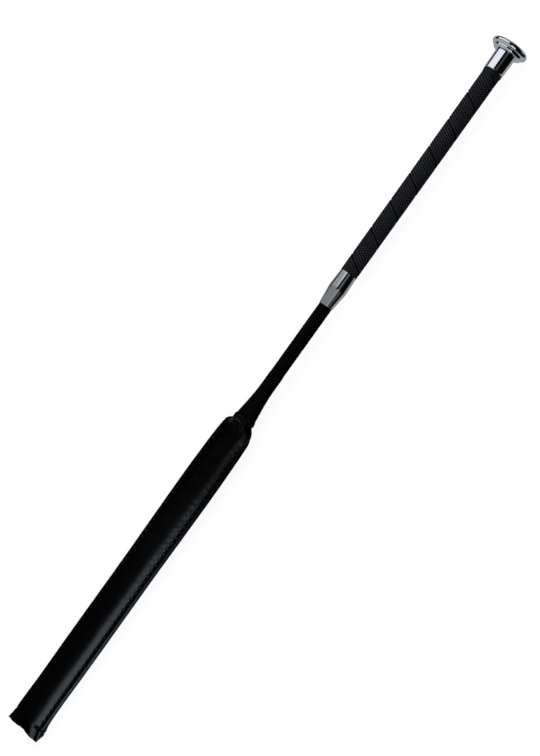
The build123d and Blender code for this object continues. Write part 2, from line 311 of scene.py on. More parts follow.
@dataclass(frozen=True)
class Plated(Finish):
    """Metal with a mirror plating: a little haze, and hair scratches that cross at random."""

    colour: Colour = (0.73, 0.757, 0.79)
    dimmed: float = 0.93
    haze: float = 0.045
    wear: float = 0.05
    patch_size: float = 9 * MM
    scratch_size: float = 0.9 * MM
    scratch_squeeze: Triple = (0.12, 1.0, 1.0)
    scratch_depth: float = 0.0004 * MM
    scratch_strength: float = 0.15

    def paint(self, graph: Graph) -> None:
        """Haze that varies in patches, and fine scratches.

        Args:
            graph: The finish's node tree.
        """
        patches = graph.noise(self.patch_size, 3.0)
        hairs = graph.noise(self.scratch_size, 4.0, self.scratch_squeeze)
        shade = graph.blend(patches, toned(self.colour, self.dimmed), self.colour)
        normal = graph.relief(hairs, self.scratch_depth, self.scratch_strength)
        graph.surface(shade, patches * self.wear + self.haze, normal, metallic=1.0)


@dataclass(frozen=True)
class DrawnMetal(Finish):
    """Polished metal with faint lengthwise drawing lines."""

    colour: Colour = (0.66, 0.67, 0.68)
    dimmed: float = 0.94
    haze: float = 0.09
    smear_size: float = 6 * MM
    smear_haze: float = 0.02
    line_size: float = 0.6 * MM
    line_squeeze: Triple = (0.03, 1.0, 1.0)
    line_haze: float = 0.03
    line_depth: float = 0.0006 * MM
    line_strength: float = 0.15

    def paint(self, graph: Graph) -> None:
        """Lines along X that change with the angle round the whip.

        Args:
            graph: The finish's node tree.
        """
        lines = graph.noise(self.line_size, 2.0, self.line_squeeze)
        smears = graph.noise(self.smear_size, 2.0)
        shade = graph.blend(smears, toned(self.colour, self.dimmed), self.colour)
        roughness = lines * self.line_haze + smears * self.smear_haze + self.haze
        normal = graph.relief(lines, self.line_depth, self.line_strength)
        graph.surface(shade, roughness, normal, metallic=1.0)


@dataclass(frozen=True)
class Leather(Finish):
    """Smooth dyed leather with a low gloss, fine grain and a few soft creases."""

    colour: Colour = (0.0005, 0.0006, 0.0008)
    worn: Colour = (0.0011, 0.0013, 0.0016)
    roughness: float = 0.29
    shine: float = 0.45
    stretched: Span = (-0.460, -0.400)
    stretched_gloss: float = 0.09
    pebble_size: float = 1.21 * MM
    pebble_relief: float = 0.5
    pore_size: float = 0.55 * MM
    pore_relief: float = 0.35
    pore_haze: float = 0.08
    crease_size: float = 14 * MM
    crease_squeeze: Triple = (0.5, 1.6, 1.6)
    crease_relief: float = 0.6
    rub_size: float = 35 * MM
    rub_range: Span = (0.45, 0.8)
    rub_haze: float = 0.04
    grain_depth: float = 0.02 * MM
    grain_strength: float = 0.55

    def paint(self, graph: Graph) -> None:
        """Pebbled grain, pores and handling marks, glossier where it is stretched to the neck.

        Args:
            graph: The finish's node tree.
        """
        pebbles = graph.cells(self.pebble_size)
        pores = graph.noise(self.pore_size, 5.0)
        creases = graph.noise(self.crease_size, 3.0, self.crease_squeeze)
        paler_tone = graph.noise(self.rub_size, 4.0).step(*self.rub_range)
        tight = graph.axes()[0].step(*self.stretched)
        shade = graph.blend(paler_tone, self.colour, self.worn)
        haze = pores * self.pore_haze + paler_tone * self.rub_haze
        roughness = haze + self.roughness - tight * self.stretched_gloss
        grain = pebbles * self.pebble_relief + pores * self.pore_relief
        height = grain + creases * self.crease_relief
        normal = graph.relief(height, self.grain_depth, self.grain_strength)
        graph.surface(shade, roughness, normal, self.shine)


@dataclass(frozen=True)
class CutEdge(Finish):
    """The burnished cut edge of leather: short fibres run along it under a dull dye."""

    dyed: Colour = (0.002, 0.0022, 0.0024)
    paler_tone: Colour = (0.185, 0.197, 0.212)
    painted_light_start: float = -0.42
    painted_light_full: float = -0.60
    painted_light_least: float = 0.35
    painted_light_fibres: float = 0.8
    roughness: float = 0.5
    shine: float = 0.2
    fibre_size: float = 0.7 * MM
    fibre_squeeze: Triple = (0.18, 1.0, 1.0)
    fibre_haze: float = 0.2
    fibre_depth: float = 0.12 * MM
    fibre_strength: float = 0.6

    def paint(self, graph: Graph) -> None:
        """Fibres drawn out along X, with painted light that makes the edge paler towards the tail.

        Args:
            graph: The finish's node tree.
        """
        fibres = graph.noise(self.fibre_size, 5.0, self.fibre_squeeze)
        # Painted light: the edge's colour grows paler from the neck towards the tail, standing in
        # for light that falls off towards the neck.
        past_painted_light_start = graph.axes()[0] - self.painted_light_start
        painted_light_share = (past_painted_light_start / (self.painted_light_full - self.painted_light_start)).clamped()
        share = painted_light_share * (fibres * self.painted_light_fibres + self.painted_light_least)
        shade = graph.blend(share, self.dyed, self.paler_tone)
        normal = graph.relief(fibres, self.fibre_depth, self.fibre_strength)
        graph.surface(shade, fibres * self.fibre_haze + self.roughness, normal, self.shine)


@dataclass(frozen=True)
class Woven(Finish):
    """Close-woven yarn: each yarn's filaments show as fine slanting lines."""

    colour: Colour = (0.0015, 0.0016, 0.0020)
    lit: Colour = (0.086, 0.091, 0.108)
    roughness: float = 0.6
    filament: float = 0.22 * MM
    filaments_round: float = 18.0
    filament_relief: float = 0.25
    fluff_size: float = 0.3 * MM
    fluff_share: float = 0.8
    dust_size: float = 5 * MM
    dust_share: float = 0.6
    dust_haze: float = 0.15
    depth: float = 0.05 * MM
    strength: float = 0.7
    shine: float = 0.06

    def paint(self, graph: Graph) -> None:
        """Filaments, fluff and a dusty variation from yarn to yarn, with painted light on the crests
        and painted shade in the hollows.

        Args:
            graph: The finish's node tree.
        """
        x, y, z = graph.axes()
        turn = z.angle_from(y)
        slant = (x * (math.tau / self.filament) + turn * self.filaments_round).sine()
        fluff = graph.noise(self.fluff_size, 4.0)
        dust = graph.noise(self.dust_size, 4.0)
        # Painted light and shade: the mesh's painted_light share darkens the colour in hollows, at
        # the tape's seam edges and where strands pass under, and lightens the crests.
        painted_light = graph.value("Fac", "ShaderNodeAttribute", {"attribute_name": PAINTED_LIGHT})
        share = painted_light**2 * (fluff * self.fluff_share + dust * self.dust_share)
        shade = graph.blend(share, self.colour, self.lit)
        height = slant * self.filament_relief + fluff * (1 - self.filament_relief)
        normal = graph.relief(height, self.depth, self.strength)
        graph.surface(shade, dust * self.dust_haze + self.roughness, normal, self.shine)


@dataclass(frozen=True)
class Thread(Finish):
    """Waxed or sewing thread: tight twisted filaments with a soft shine."""

    colour: Colour = (0.0008, 0.0011, 0.0020)
    lit: Colour = (0.0016, 0.0019, 0.0030)
    roughness: float = 0.42
    filament: float = 0.16 * MM
    filament_squeeze: Triple = (2.5, 0.7, 0.7)
    wax_size: float = 4 * MM
    wax_haze: float = 0.2
    contrast: float = 2.0
    depth: float = 0.05 * MM
    strength: float = 0.7
    shine: float = 0.08

    def paint(self, graph: Graph) -> None:
        """Wax that has worn thin in places over fine filaments.

        Args:
            graph: The finish's node tree.
        """
        filaments = graph.noise(self.filament, 3.0, self.filament_squeeze)
        wax = graph.noise(self.wax_size, 3.0)
        shade = graph.blend(wax * filaments * self.contrast, self.colour, self.lit)
        normal = graph.relief(filaments, self.depth, self.strength)
        graph.surface(shade, wax * self.wax_haze + self.roughness, normal, self.shine)


@dataclass(frozen=True)
class Moulded(Finish):
    """Moulded rubber, plastic or foam: an even colour over a fine or open texture."""

    colour: Colour
    roughness: float
    pore_size: float = 0.4 * MM
    pore_depth: float = 0.03 * MM
    pore_strength: float = 0.6
    bloom_size: float = 6 * MM
    bloom_tone: float = 1.6
    bloom_haze: float = 0.12

    def paint(self, graph: Graph) -> None:
        """Pores and a slight bloom.

        Args:
            graph: The finish's node tree.
        """
        pores = graph.cells(self.pore_size)
        bloom = graph.noise(self.bloom_size, 3.0)
        shade = graph.blend(bloom, self.colour, toned(self.colour, self.bloom_tone))
        normal = graph.relief(pores, self.pore_depth, self.pore_strength)
        graph.surface(shade, bloom * self.bloom_haze + self.roughness, normal)


CHROME = Plated("chrome_plate")
FERRULE_METAL = DrawnMetal("polished_metal")
LEATHER = Leather("black_leather")
LEATHER_EDGE = CutEdge("burnished_edge")
TAPE = Woven("woven_grip_tape")
BRAID = Woven(
    "braided_nylon",
    colour=(0.0005, 0.0005, 0.0006),
    lit=(0.0026, 0.0028, 0.0031),
    roughness=0.38,
    filament=0.12 * MM,
    depth=0.02 * MM,
    shine=0.055,
)
WAXED_THREAD = Thread("waxed_thread")
CORD = Thread("waxed_cord", (0.0008, 0.0011, 0.0018), (0.0030, 0.0035, 0.0050), 0.3, shine=0.2)
SEWING_THREAD = Thread("seam_thread", (0.0005, 0.0005, 0.0006), (0.0012, 0.0012, 0.0014), shine=0.04)
RUBBER = Moulded("black_rubber", (0.0012, 0.0012, 0.0014), 0.7)
SLEEVE_RUBBER = Moulded("sleeve_rubber", (0.0012, 0.0012, 0.0013), 0.8)
FOAM = Moulded("grey_foam", (0.010, 0.010, 0.011), 0.85, 0.5 * MM, 0.15 * MM)
NYLON = Moulded("black_nylon", (0.008, 0.008, 0.008), 0.4, 0.3 * MM, 0.01 * MM)
SHEATHING = Moulded("black_pvc", (0.006, 0.006, 0.006), 0.35, 0.3 * MM, 0.01 * MM)
FIBREGLASS = Moulded("fibreglass", (0.55, 0.52, 0.40), 0.3, 0.25 * MM, 0.01 * MM)


# ---------------------------------------------------------------- form helpers
def smooth_through(stations: Curve, at: np.ndarray) -> np.ndarray:
    """Read a smooth curve that passes through a few stations without overshooting them.

    Args:
        stations: Place and value of each station in millimetres, in rising order of place.
        at: The places to read.

    Returns:
        The curve's value at each place.
    """
    place, value = MM * np.array(stations, float).T
    gap = np.diff(place)
    slope = np.diff(value) / gap
    steady = slope[:-1] * slope[1:] > 0
    mean = 2 * slope[:-1] * slope[1:] / np.where(steady, slope[:-1] + slope[1:], 1.0)
    steepness = np.zeros_like(value)
    steepness[1:-1] = np.where(steady, mean, 0.0)
    last = np.clip(np.searchsorted(place, at) - 1, 0, len(gap) - 1)
    t = np.clip((at - place[last]) / gap[last], 0.0, 1.0)
    level = value[last] * (1 + 2 * t) * (1 - t) ** 2 + value[last + 1] * t**2 * (3 - 2 * t)
    lean = steepness[last] * t * (1 - t) ** 2 - steepness[last + 1] * t**2 * (1 - t)
    return level + gap[last] * lean


def rise(at: Reading, low: Reading, high: Reading) -> Reading:
    """A smooth step from 0 at low to 1 at high."""
    t = np.clip((at - low) / (high - low), 0.0, 1.0)
    return t * t * (3 - 2 * t)


@dataclass(frozen=True)
class Bump:
    """A soft swelling or hollow across a line, with its middle at or beside the line."""

    height: float
    width: float
    middle: float = 0.0

    def at(self, distance: np.ndarray) -> np.ndarray:
        """How high it is at a distance from the line."""
        return self.height * np.exp(-(((distance - self.middle) / self.width) ** 2))


@dataclass(frozen=True)
class Unevenness:
    """A slow uneven wave that is the same at each run; the seed sets it apart from others."""

    height: float
    length: float
    seed: float = 0.0

    def at(self, place: np.ndarray, seed: float = 0.0) -> np.ndarray:
        """Read the wave.

        Args:
            place: The places to read.
            seed: What is added to the wave's own seed.

        Returns:
            The wave at each place.
        """
        turns = math.tau * place / self.length
        start = self.seed + seed
        waves = ((0.5, 1.0, 2.1), (0.3, 1.73, 5.3), (0.2, 3.11, 9.7))
        return self.height * sum(
            share * np.sin(pace * turns + shift * start) for share, pace, shift in waves
        )


def circle(points: int) -> np.ndarray:
    """Angles evenly spaced round a circle."""
    return np.linspace(0.0, math.tau, points, endpoint=False)


def around(x: np.ndarray, angle: np.ndarray, radius: np.ndarray) -> np.ndarray:
    """Points at stations along X, turned about X from +Y, at a radius."""
    x, angle, radius = np.broadcast_arrays(x, angle, radius)
    return np.stack([x, radius * np.cos(angle), radius * np.sin(angle)], -1)


def between(grid: np.ndarray, at: np.ndarray) -> np.ndarray:
    """Read a grid of points at places between its rows.

    Args:
        grid: Rows by columns by 3.
        at: The places, counted in rows.

    Returns:
        One row for each place.
    """
    low = np.minimum(at.astype(int), len(grid) - 2)
    share = (at - low)[:, None, None]
    return grid[low] * (1 - share) + grid[low + 1] * share


class Builder:
    """Gathers grids of points into one mesh."""

    def __init__(self) -> None:
        """Start with nothing."""
        self.points: list[np.ndarray] = []
        self.faces: list[list[int]] = []
        self.marks: list[int] = []
        self.count = 0

    def strip(self, first: np.ndarray, second: np.ndarray, marks: Marks) -> None:
        """Join two rows of points that are there already.

        Args:
            first: The numbers of one row's points.
            second: The numbers of the other row's points.
            marks: Which finish each face wears, or all of them.
        """
        quads = np.stack([first[:-1], first[1:], second[1:], second[:-1]], -1)
        self.faces += quads.tolist()
        self.marks += np.broadcast_to(marks, len(quads)).tolist()

    def sheet(self, points: np.ndarray, ring: bool = False, marks: Marks = 0) -> np.ndarray:
        """Add a grid of points and its faces.

        Args:
            points: Rows by columns by 3.
            ring: Whether the last column joins the first.
            marks: Which finish the faces of each column wear, or all of them.

        Returns:
            The points' numbers, rows by columns, with a ring's first column repeated.
        """
        rows, columns = points.shape[:2]
        numbers = self.count + np.arange(rows * columns).reshape(rows, columns)
        if ring:
            numbers = np.concatenate([numbers, numbers[:, :1]], axis=1)
        for upper, lower in zip(numbers[:-1], numbers[1:]):
            self.strip(upper, lower, marks)
        self.points.append(points.reshape(-1, 3))
        self.count += rows * columns
        return numbers

    def tube(self, points: np.ndarray) -> None:
        """Add a closed tube.

        Args:
            points: The tube's rings, one to a row; the first and the last are filled.
        """
        numbers = self.sheet(points, ring=True)
        self.faces += numbers[[0, -1], :-1].tolist()
        self.marks += [0, 0]

    def cord(self, path: np.ndarray, radius: Reading, sides: int = 8) -> None:
        """Add a round tube along a path.

        Args:
            path: The tube's centre line, point by point.
            radius: The tube's radius, the same all along or point by point.
            sides: How many points go round it.
        """
        along = np.gradient(path, axis=0)
        along /= np.linalg.norm(along, axis=1, keepdims=True)
        guide = np.array([0.0, 0.0, 1.0]) + 0.01 * along[:, ::-1]
        across = np.cross(along, guide)
        across /= np.linalg.norm(across, axis=1, keepdims=True)
        up = np.cross(across, along)
        turn = circle(sides)[:, None]
        ring = across[:, None] * np.cos(turn) + up[:, None] * np.sin(turn)
        self.tube(path[:, None] + ring * np.broadcast_to(radius, len(path))[:, None, None])

    def mesh(self, name: str) -> bpy.types.Object:
        """Make the object, smooth, with its faces turned outwards.

        Args:
            name: The piece's name.

        Returns:
            The object, linked to the scene.
        """
        data = bpy.data.meshes.new(name)
        data.from_pydata(np.concatenate(self.points).tolist(), [], self.faces)
        data.polygons.foreach_set("material_index", self.marks)
        data.shade_smooth()
        shape = bmesh.new()
        shape.from_mesh(data)
        bmesh.ops.recalc_face_normals(shape, faces=shape.faces)
        shape.to_mesh(data)
        shape.free()
        made = bpy.data.objects.new(name, data)
        bpy.context.scene.collection.objects.link(made)
        return made


def closed_tube(name: str, points: np.ndarray) -> bpy.types.Object:
    """Make a piece that is one closed tube.

    Args:
        name: The piece's name.
        points: The tube's rings, one to a row.

    Returns:
        The object, linked to the scene.
    """
    builder = Builder()
    builder.tube(points)
    return builder.mesh(name)


def mark_painted_light(piece: bpy.types.Object, share: np.ndarray) -> None:
    """Keep on each point its share of painted light, 0 for painted shade in the hollows to 1 on the
    crests.
    """
    layer = piece.data.attributes.new(PAINTED_LIGHT, "FLOAT", "POINT")
    layer.data.foreach_set("value", share.ravel().astype(np.float32))


def cut_square(piece: bpy.types.Object, x: float, side: int) -> None:
    """Trim a piece flat across X and close the cut.

    Args:
        piece: The mesh to trim.
        x: Where it is cut.
        side: 1 to trim what lies past the cut towards +X, -1 towards -X.
    """
    shape = bmesh.new()
    shape.from_mesh(piece.data)
    everything = shape.verts[:] + shape.edges[:] + shape.faces[:]
    made = bmesh.ops.bisect_plane(
        shape, geom=everything, plane_co=(x, 0, 0), plane_no=(side, 0, 0), clear_outer=True
    )
    rim = [part for part in made["geom_cut"] if isinstance(part, bmesh.types.BMEdge)]
    bmesh.ops.holes_fill(shape, edges=rim, sides=0)
    shape.to_mesh(piece.data)
    shape.free()


def dress(
    piece: bpy.types.Object, slot: str, finishes: Sequence[Finish], *nodes: str
) -> bpy.types.Object:
    """Give a piece its finishes, fix it to the whip and say what it stands for.

    Args:
        piece: The piece.
        slot: The record's material slot; not used.
        finishes: Its finishes, in the order of its faces' marks.
        nodes: The solids that it stands for.

    Returns:
        The piece.
    """
    for finish in finishes:
        piece.data.materials.append(finish.material())
    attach(piece, BODY)
    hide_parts(*nodes)
    log.info("made %s: %d faces, for %s", piece.name, len(piece.data.polygons), ", ".join(nodes))
    return piece


def refinish(**finishes: Finish) -> None:
    """Give each kept solid that is named its finish.

    Args:
        finishes: The finish of each solid, by the solid's name.
    """
    for node, finish in finishes.items():
        solid = frame["nodes"][node]
        solid.data.materials.clear()
        solid.data.materials.append(finish.material())
        log.info("finished %s in %s", node, finish.name)


# ---------------------------------------------------------------- stations
@dataclass(frozen=True)
class Stations:
    """Where the whip's pieces begin and end along X, and the radii they have there."""

    grip_start: float
    grip_end: float
    ferrule_end: float
    binding_start: float
    binding_end: float
    leather_start: float
    pad_start: float
    pad_tail: float
    cover_radius: float
    grip_radius: float
    binding_radius: float
    tie_radius: float
    pad_half_width: float
    pad_half_height: float

    @classmethod
    def from_frame(cls) -> "Stations":
        """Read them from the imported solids.

        Returns:
            The stations.
        """
        ferrule, binding, tie = (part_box(node) for node in ("ferrule", "neck_binding", "neck_tie"))
        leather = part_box("pad_upper_leather")
        return cls(
            grip_start=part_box("grip_end_ring")[0].x,
            grip_end=ferrule[1].x,
            ferrule_end=ferrule[0].x,
            binding_start=binding[1].x,
            binding_end=binding[0].x,
            leather_start=leather[1].x,
            pad_start=tie[0].x,
            pad_tail=leather[0].x,
            cover_radius=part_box("braided_cover")[1].y,
            grip_radius=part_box("grip_tape")[1].y,
            binding_radius=binding[1].y,
            tie_radius=tie[1].y,
            pad_half_width=leather[1].y,
            pad_half_height=leather[1].z,
        )


# ---------------------------------------------------------------- handle
@dataclass
class Cap:
    """The plated mushroom cap with its face disc, and the liner that it is pressed on."""

    def build(self) -> None:
        """Finish the cap's solids."""
        refinish(cap_shell=CHROME, cap_face_disc=CHROME, cap_liner=NYLON)


@dataclass
class Grip:
    """The ribbed woven tape, wound left-handed over its sleeve, and its end ring."""

    stations: Stations
    pitch: float = 25.9 * MM
    seam_gap: float = 1.15 * MM
    seam_angle: float = math.radians(125)
    thickness: float = 1.05 * MM
    taper: float = 0.3 * MM
    ribs: int = 11
    rib_height: float = 0.36 * MM
    proud: float = 0.2 * MM
    wave_length: float = 2.15 * MM
    wave_reach: float = 0.36 * MM
    edge_round: float = 0.7 * MM
    edge_painted_shade: float = 0.8
    end_gap: float = 0.05 * MM
    steps_per_turn: int = 180
    steps_per_rib: int = 8

    def radius_at(self, x: np.ndarray) -> np.ndarray:
        """Outside radius of the tape, which tapers towards the ferrule.

        Args:
            x: Stations along the grip.

        Returns:
            The radius at each station.
        """
        start = self.stations.grip_start
        share = (start - x) / (start - self.stations.grip_end)
        return self.stations.grip_radius - self.taper * share

    def tape(self) -> bpy.types.Object:
        """Wind the tape as one ribbon with wavy ribs, from ring to ferrule.

        Returns:
            The piece, not dressed yet.
        """
        start, end = self.stations.grip_start, self.stations.grip_end
        turns = (start - end) / self.pitch
        turn = np.linspace(-1.0, turns, int((turns + 1) * self.steps_per_turn))[:, None]
        share = np.linspace(0.0, 1.0, self.ribs * self.steps_per_rib + 1)
        width = self.pitch - self.seam_gap
        angle = self.seam_angle + math.tau * turn
        x = start - self.pitch * turn - self.seam_gap / 2 - share * width
        lay = math.hypot(math.tau * self.stations.grip_radius, self.pitch)
        wave = self.wave_reach * np.sin(math.tau * turn * lay / self.wave_length)
        ridge = 0.5 - 0.5 * np.cos(math.tau * self.ribs * (share + wave / width))
        from_edge = np.minimum(share, 1 - share) * width
        edge = np.clip(1 - from_edge / self.edge_round, 0.0, 1.0)
        fall = self.edge_round * (1 - np.sqrt(1 - edge**2))
        outer = self.radius_at(x) + self.proud - self.rib_height * (1 - ridge) - fall
        outside = around(x, angle, outer)
        inside = around(x, angle, self.radius_at(x) - self.thickness)[:, :: -self.steps_per_rib]
        tape = closed_tube("grip_tape_wound", np.concatenate([outside, inside], axis=1))
        # Painted shade: the colour share falls in the hollows between ribs and at the tape's rounded
        # edges beside the seam gap.
        height = ridge * (1 - self.edge_painted_shade * edge)
        mark_painted_light(tape, np.concatenate([height, np.zeros(inside.shape[:2])], axis=1))
        cut_square(tape, start - self.end_gap, 1)
        cut_square(tape, end + self.end_gap, -1)
        return tape

    def build(self) -> None:
        """Make the tape and finish the ring and sleeve."""
        dress(self.tape(), "woven_grip_tape", [TAPE], "grip_tape")
        refinish(grip_end_ring=RUBBER, grip_sleeve=SLEEVE_RUBBER)


@dataclass
class Ferrule:
    """The conical metal ferrule and the bush inside it."""

    def build(self) -> None:
        """Finish the ferrule's solids."""
        refinish(ferrule=FERRULE_METAL, ferrule_bush=NYLON)


# ---------------------------------------------------------------- shaft
class Hand(Enum):
    """Which way a strand winds as it runs towards the tail."""

    LEFT = -1
    RIGHT = 1


@dataclass
class Shaft:
    """The bare shaft: strands braided two over two, in columns that run along it."""

    stations: Stations
    strands_each_way: int = 10
    lay_length: float = 32.0 * MM
    strand_width: float = 2.2 * MM
    strand_thickness: float = 0.44 * MM
    strand_roundness: float = 0.8
    proud: float = 0.15 * MM
    crossing: float = 1.35
    crown_painted_light: float = 0.3
    yarns: int = 3
    yarn_bulge: float = 0.16
    hidden_length: float = 7.0 * MM
    steps: int = 190
    sides: int = 16

    def strand(self, number: int, hand: Hand, builder: Builder) -> np.ndarray:
        """Add one strand.

        Args:
            number: Its place among those that wind the same way.
            hand: Which way it winds.
            builder: The mesh in the making.

        Returns:
            Its share of painted light at each point, from 0 for painted shade under crossing strands
            to 1 on the outer face of strands that lie over.
        """
        top = self.stations.ferrule_end + self.hidden_length
        end = self.stations.binding_start - self.hidden_length
        centre = np.linspace(top, end, self.steps)[:, None]
        reach = self.stations.cover_radius + self.proud - self.strand_thickness
        slope = math.atan(math.tau * reach / self.lay_length)
        side = circle(self.sides)
        reach_across = np.abs(np.cos(side)) ** self.strand_roundness
        across = self.strand_width / 2 * np.sign(np.cos(side)) * reach_across
        bulge = 1 + self.yarn_bulge * np.cos(math.tau * self.yarns * across / self.strand_width)
        lift = self.strand_thickness / 2 * np.sin(side) * bulge
        x = centre + across * math.sin(slope) * hand.value
        wound = hand.value * math.tau * (top - centre) / self.lay_length
        angle = math.tau * number / self.strands_each_way + wound + across * math.cos(slope) / reach
        column = angle * self.strands_each_way / math.pi
        weave = self.crossing * np.sin(math.pi / 2 * (column + 0.5))
        over = np.clip(weave, -1, 1) * hand.value
        builder.tube(around(x, angle, reach + over * self.strand_thickness / 2 + lift))
        # Painted light and shade: strands that lie over and the outer face of each strand get the
        # lit colour, strands that pass under get painted shade.
        return np.clip(0.5 + 0.5 * over + self.crown_painted_light * np.sin(side), 0, 1) ** 2

    def build(self) -> None:
        """Braid the cover and finish what it hides."""
        builder = Builder()
        strands = [(number, hand) for hand in Hand for number in range(self.strands_each_way)]
        painted_light = [self.strand(number, hand, builder) for number, hand in strands]
        braid = builder.mesh("shaft_braid")
        mark_painted_light(braid, np.concatenate(painted_light))
        dress(braid, "braided_nylon", [BRAID], "braided_cover")
        refinish(rod_sheath=SHEATHING, core_rod=FIBREGLASS, rod_tip_guard=RUBBER)


# ---------------------------------------------------------------- neck
@dataclass
class Neck:
    """The thread wound over the neck and the cord that ties the leather down."""

    stations: Stations
    thread_pitch: float = 1.08 * MM
    thread_height: float = 0.5 * MM
    thread_spread: float = 0.53
    thread_tuck: float = 0.45 * MM
    thread_tuck_turns: float = 0.3
    thread_ends: Span = (0.55, 1.5)
    thread_wavering: Unevenness = Unevenness(0.09 * MM, 1.37, 0.4)
    thread_looseness: Unevenness = Unevenness(0.035 * MM, 3.9, 1.7)
    thread_steps: int = 56
    thread_sides: int = 10
    straight_length: float = 13.0 * MM
    end_steepness: float = 1.4
    thin_radius: float = 5.9 * MM
    cord_turns: int = 4
    cord_plies: int = 3
    cord_short: float = 0.75
    cord_tuck: float = 0.9 * MM
    cord_tuck_turns: float = 0.12
    cord_swell: Span = (0.12, 0.72)
    cord_clearance: float = 0.4 * MM
    cord_girth: Span = (0.80, 1.02)
    cord_start_angle: float = 2.2
    cord_steps: int = 110
    cord_sides: int = 18
    ply_roundness: float = 0.7
    ply_turns: int = 10

    def binding_radius_at(self, x: np.ndarray) -> np.ndarray:
        """Outside radius of the wound thread, straight at first and then flaring to the pad.

        Args:
            x: Stations along the neck.

        Returns:
            The radius at each station.
        """
        flare_start = self.stations.binding_start - self.straight_length
        t = np.clip((flare_start - x) / (flare_start - self.stations.binding_end), 0.0, 1.0)
        swell = (self.end_steepness - 2) * t**3 + (3 - self.end_steepness) * t**2
        return self.thin_radius + (self.stations.binding_radius - self.thin_radius) * swell

    def thread(self) -> bpy.types.Object:
        """Wind the thread as one slightly uneven helix whose ends tuck in.

        Returns:
            The piece, not dressed yet.
        """
        start = self.stations.binding_start - self.thread_ends[0] * self.thread_pitch
        end = self.stations.binding_end - self.thread_ends[1] * self.thread_pitch
        turns = (start - end) / self.thread_pitch
        turn = np.linspace(0.0, turns, int(turns * self.thread_steps))[:, None]
        wavering = self.thread_wavering.at(turn) * np.minimum(turn, 1.0)
        x = start - turn * self.thread_pitch + wavering
        free = rise(np.minimum(turn, turns - turn), 0.0, self.thread_tuck_turns)
        lift = self.thread_looseness.at(turn) - self.thread_tuck * (1 - free)
        centre = self.binding_radius_at(x) - self.thread_height / 2 + lift
        side = circle(self.thread_sides)
        radius = centre + self.thread_height / 2 * np.sin(side)
        along = x + self.thread_spread * self.thread_pitch * np.cos(side)
        return closed_tube("neck_thread", around(along, math.tau * turn, radius))

    def cord(self) -> bpy.types.Object:
        """Wind the cord of the tie, three plies twisted together, turn by turn.

        Returns:
            The piece, not dressed yet.
        """
        pitch = (self.stations.binding_end - self.stations.pad_start) / self.cord_turns
        cord_radius = pitch / 2
        turns = self.cord_turns - self.cord_short
        turn = np.linspace(0.0, turns, int(turns * self.cord_steps))[:, None]
        x = self.stations.binding_end - cord_radius - turn * pitch
        free = rise(np.minimum(turn, turns - turn), 0.0, self.cord_tuck_turns)
        swell = np.sin(math.pi * np.interp(turn / turns, (0, 1), self.cord_swell))
        least = self.stations.binding_radius + self.cord_clearance
        outer = least + (self.stations.tie_radius - least) * swell
        side = circle(self.cord_sides)
        twist = math.tau * self.ply_turns * turn / self.cord_plies
        lobes = np.abs(np.cos(self.cord_plies * (side + twist) / 2)) ** self.ply_roundness
        girth = cord_radius * np.interp(lobes, (0, 1), self.cord_girth)
        radius = outer - cord_radius - self.cord_tuck * (1 - free) + girth * np.sin(side)
        angle = self.cord_start_angle + math.tau * turn
        return closed_tube("neck_cord", around(x + girth * np.cos(side), angle, radius))

    def build(self) -> None:
        """Wind the thread and the cord."""
        dress(self.thread(), "waxed_thread", [WAXED_THREAD], "neck_binding")
        dress(self.cord(), "waxed_thread", [CORD], "neck_tie")


# ---------------------------------------------------------------- pad
class Face(Enum):
    """Which way a side of the pad looks."""

    UPPER = 1
    LOWER = -1


class Edge(Enum):
    """One long edge of the pad."""

    NEAR = -1
    FAR = 1


@dataclass(frozen=True)
class Drape:
    """A short cloth simulation: slack leather, held along its sewing, settles over padding."""

    scale: float = 10.0
    frames: int = 14
    pressure: float = 0.9
    slack: float = 0.0005
    bending: float = 25.0
    quality: int = 8

    def settle(self, sheet: np.ndarray, held: np.ndarray) -> np.ndarray:
        """Simulate one sheet, enlarged so that the solver's own distances stay small.

        Args:
            sheet: The sheet's points, rows by columns by 3.
            held: How firmly each point is held, 1 where it is sewn down.

        Returns:
            How far each point moves.
        """
        builder = Builder()
        builder.sheet(sheet * self.scale)
        piece = builder.mesh("settling_sheet")
        sewn = piece.vertex_groups.new(name="sewn")
        for index, weight in enumerate(held.ravel().tolist()):
            sewn.add([index], weight, "REPLACE")
        cloth = piece.modifiers.new("settle", "CLOTH").settings
        cloth.vertex_group_mass = sewn.name
        cloth.quality = self.quality
        cloth.bending_stiffness = self.bending
        cloth.shrink_min = -self.slack
        cloth.use_pressure = True
        cloth.uniform_pressure_force = self.pressure
        cloth.effector_weights.gravity = 0.0
        scene = bpy.context.scene
        for moment in range(1, self.frames + 1):
            scene.frame_set(moment)
        settled = piece.evaluated_get(bpy.context.evaluated_depsgraph_get()).data
        points = np.empty(sheet.size, np.float32)
        settled.vertices.foreach_get("co", points)
        bpy.data.meshes.remove(piece.data)
        scene.frame_set(1)
        shift = points.reshape(sheet.shape) / self.scale - sheet
        log.info("settled a sheet by up to %.2f mm", np.abs(shift).max() / MM)
        return shift


@dataclass(frozen=True)
class Shoulder:
    """How one edge of the pad opens out from the neck."""

    length: float
    fullness: float

    def opened(self, back: np.ndarray) -> np.ndarray:
        """0 at the neck to 1 where the pad is full, by the distance back from the neck."""
        return 1 - (1 - np.clip(back / self.length, 0.0, 1.0)) ** self.fullness


@dataclass
class Skin:
    """One face of the pad in the making.

    It holds where the points lie, with Z away from the middle plane, and for each of them its
    turn round the section, the half width there, how far out the stitch row runs, and how far
    the section has changed from the neck's round to the flat pad.
    """

    face: Face
    x: np.ndarray
    y: np.ndarray
    z: np.ndarray
    turn: np.ndarray
    width: np.ndarray
    row: np.ndarray
    flatness: np.ndarray

    @property
    def seed(self) -> float:
        """What sets this face's unevenness apart from the other's."""
        return 1.3 if self.face is Face.UPPER else 4.6


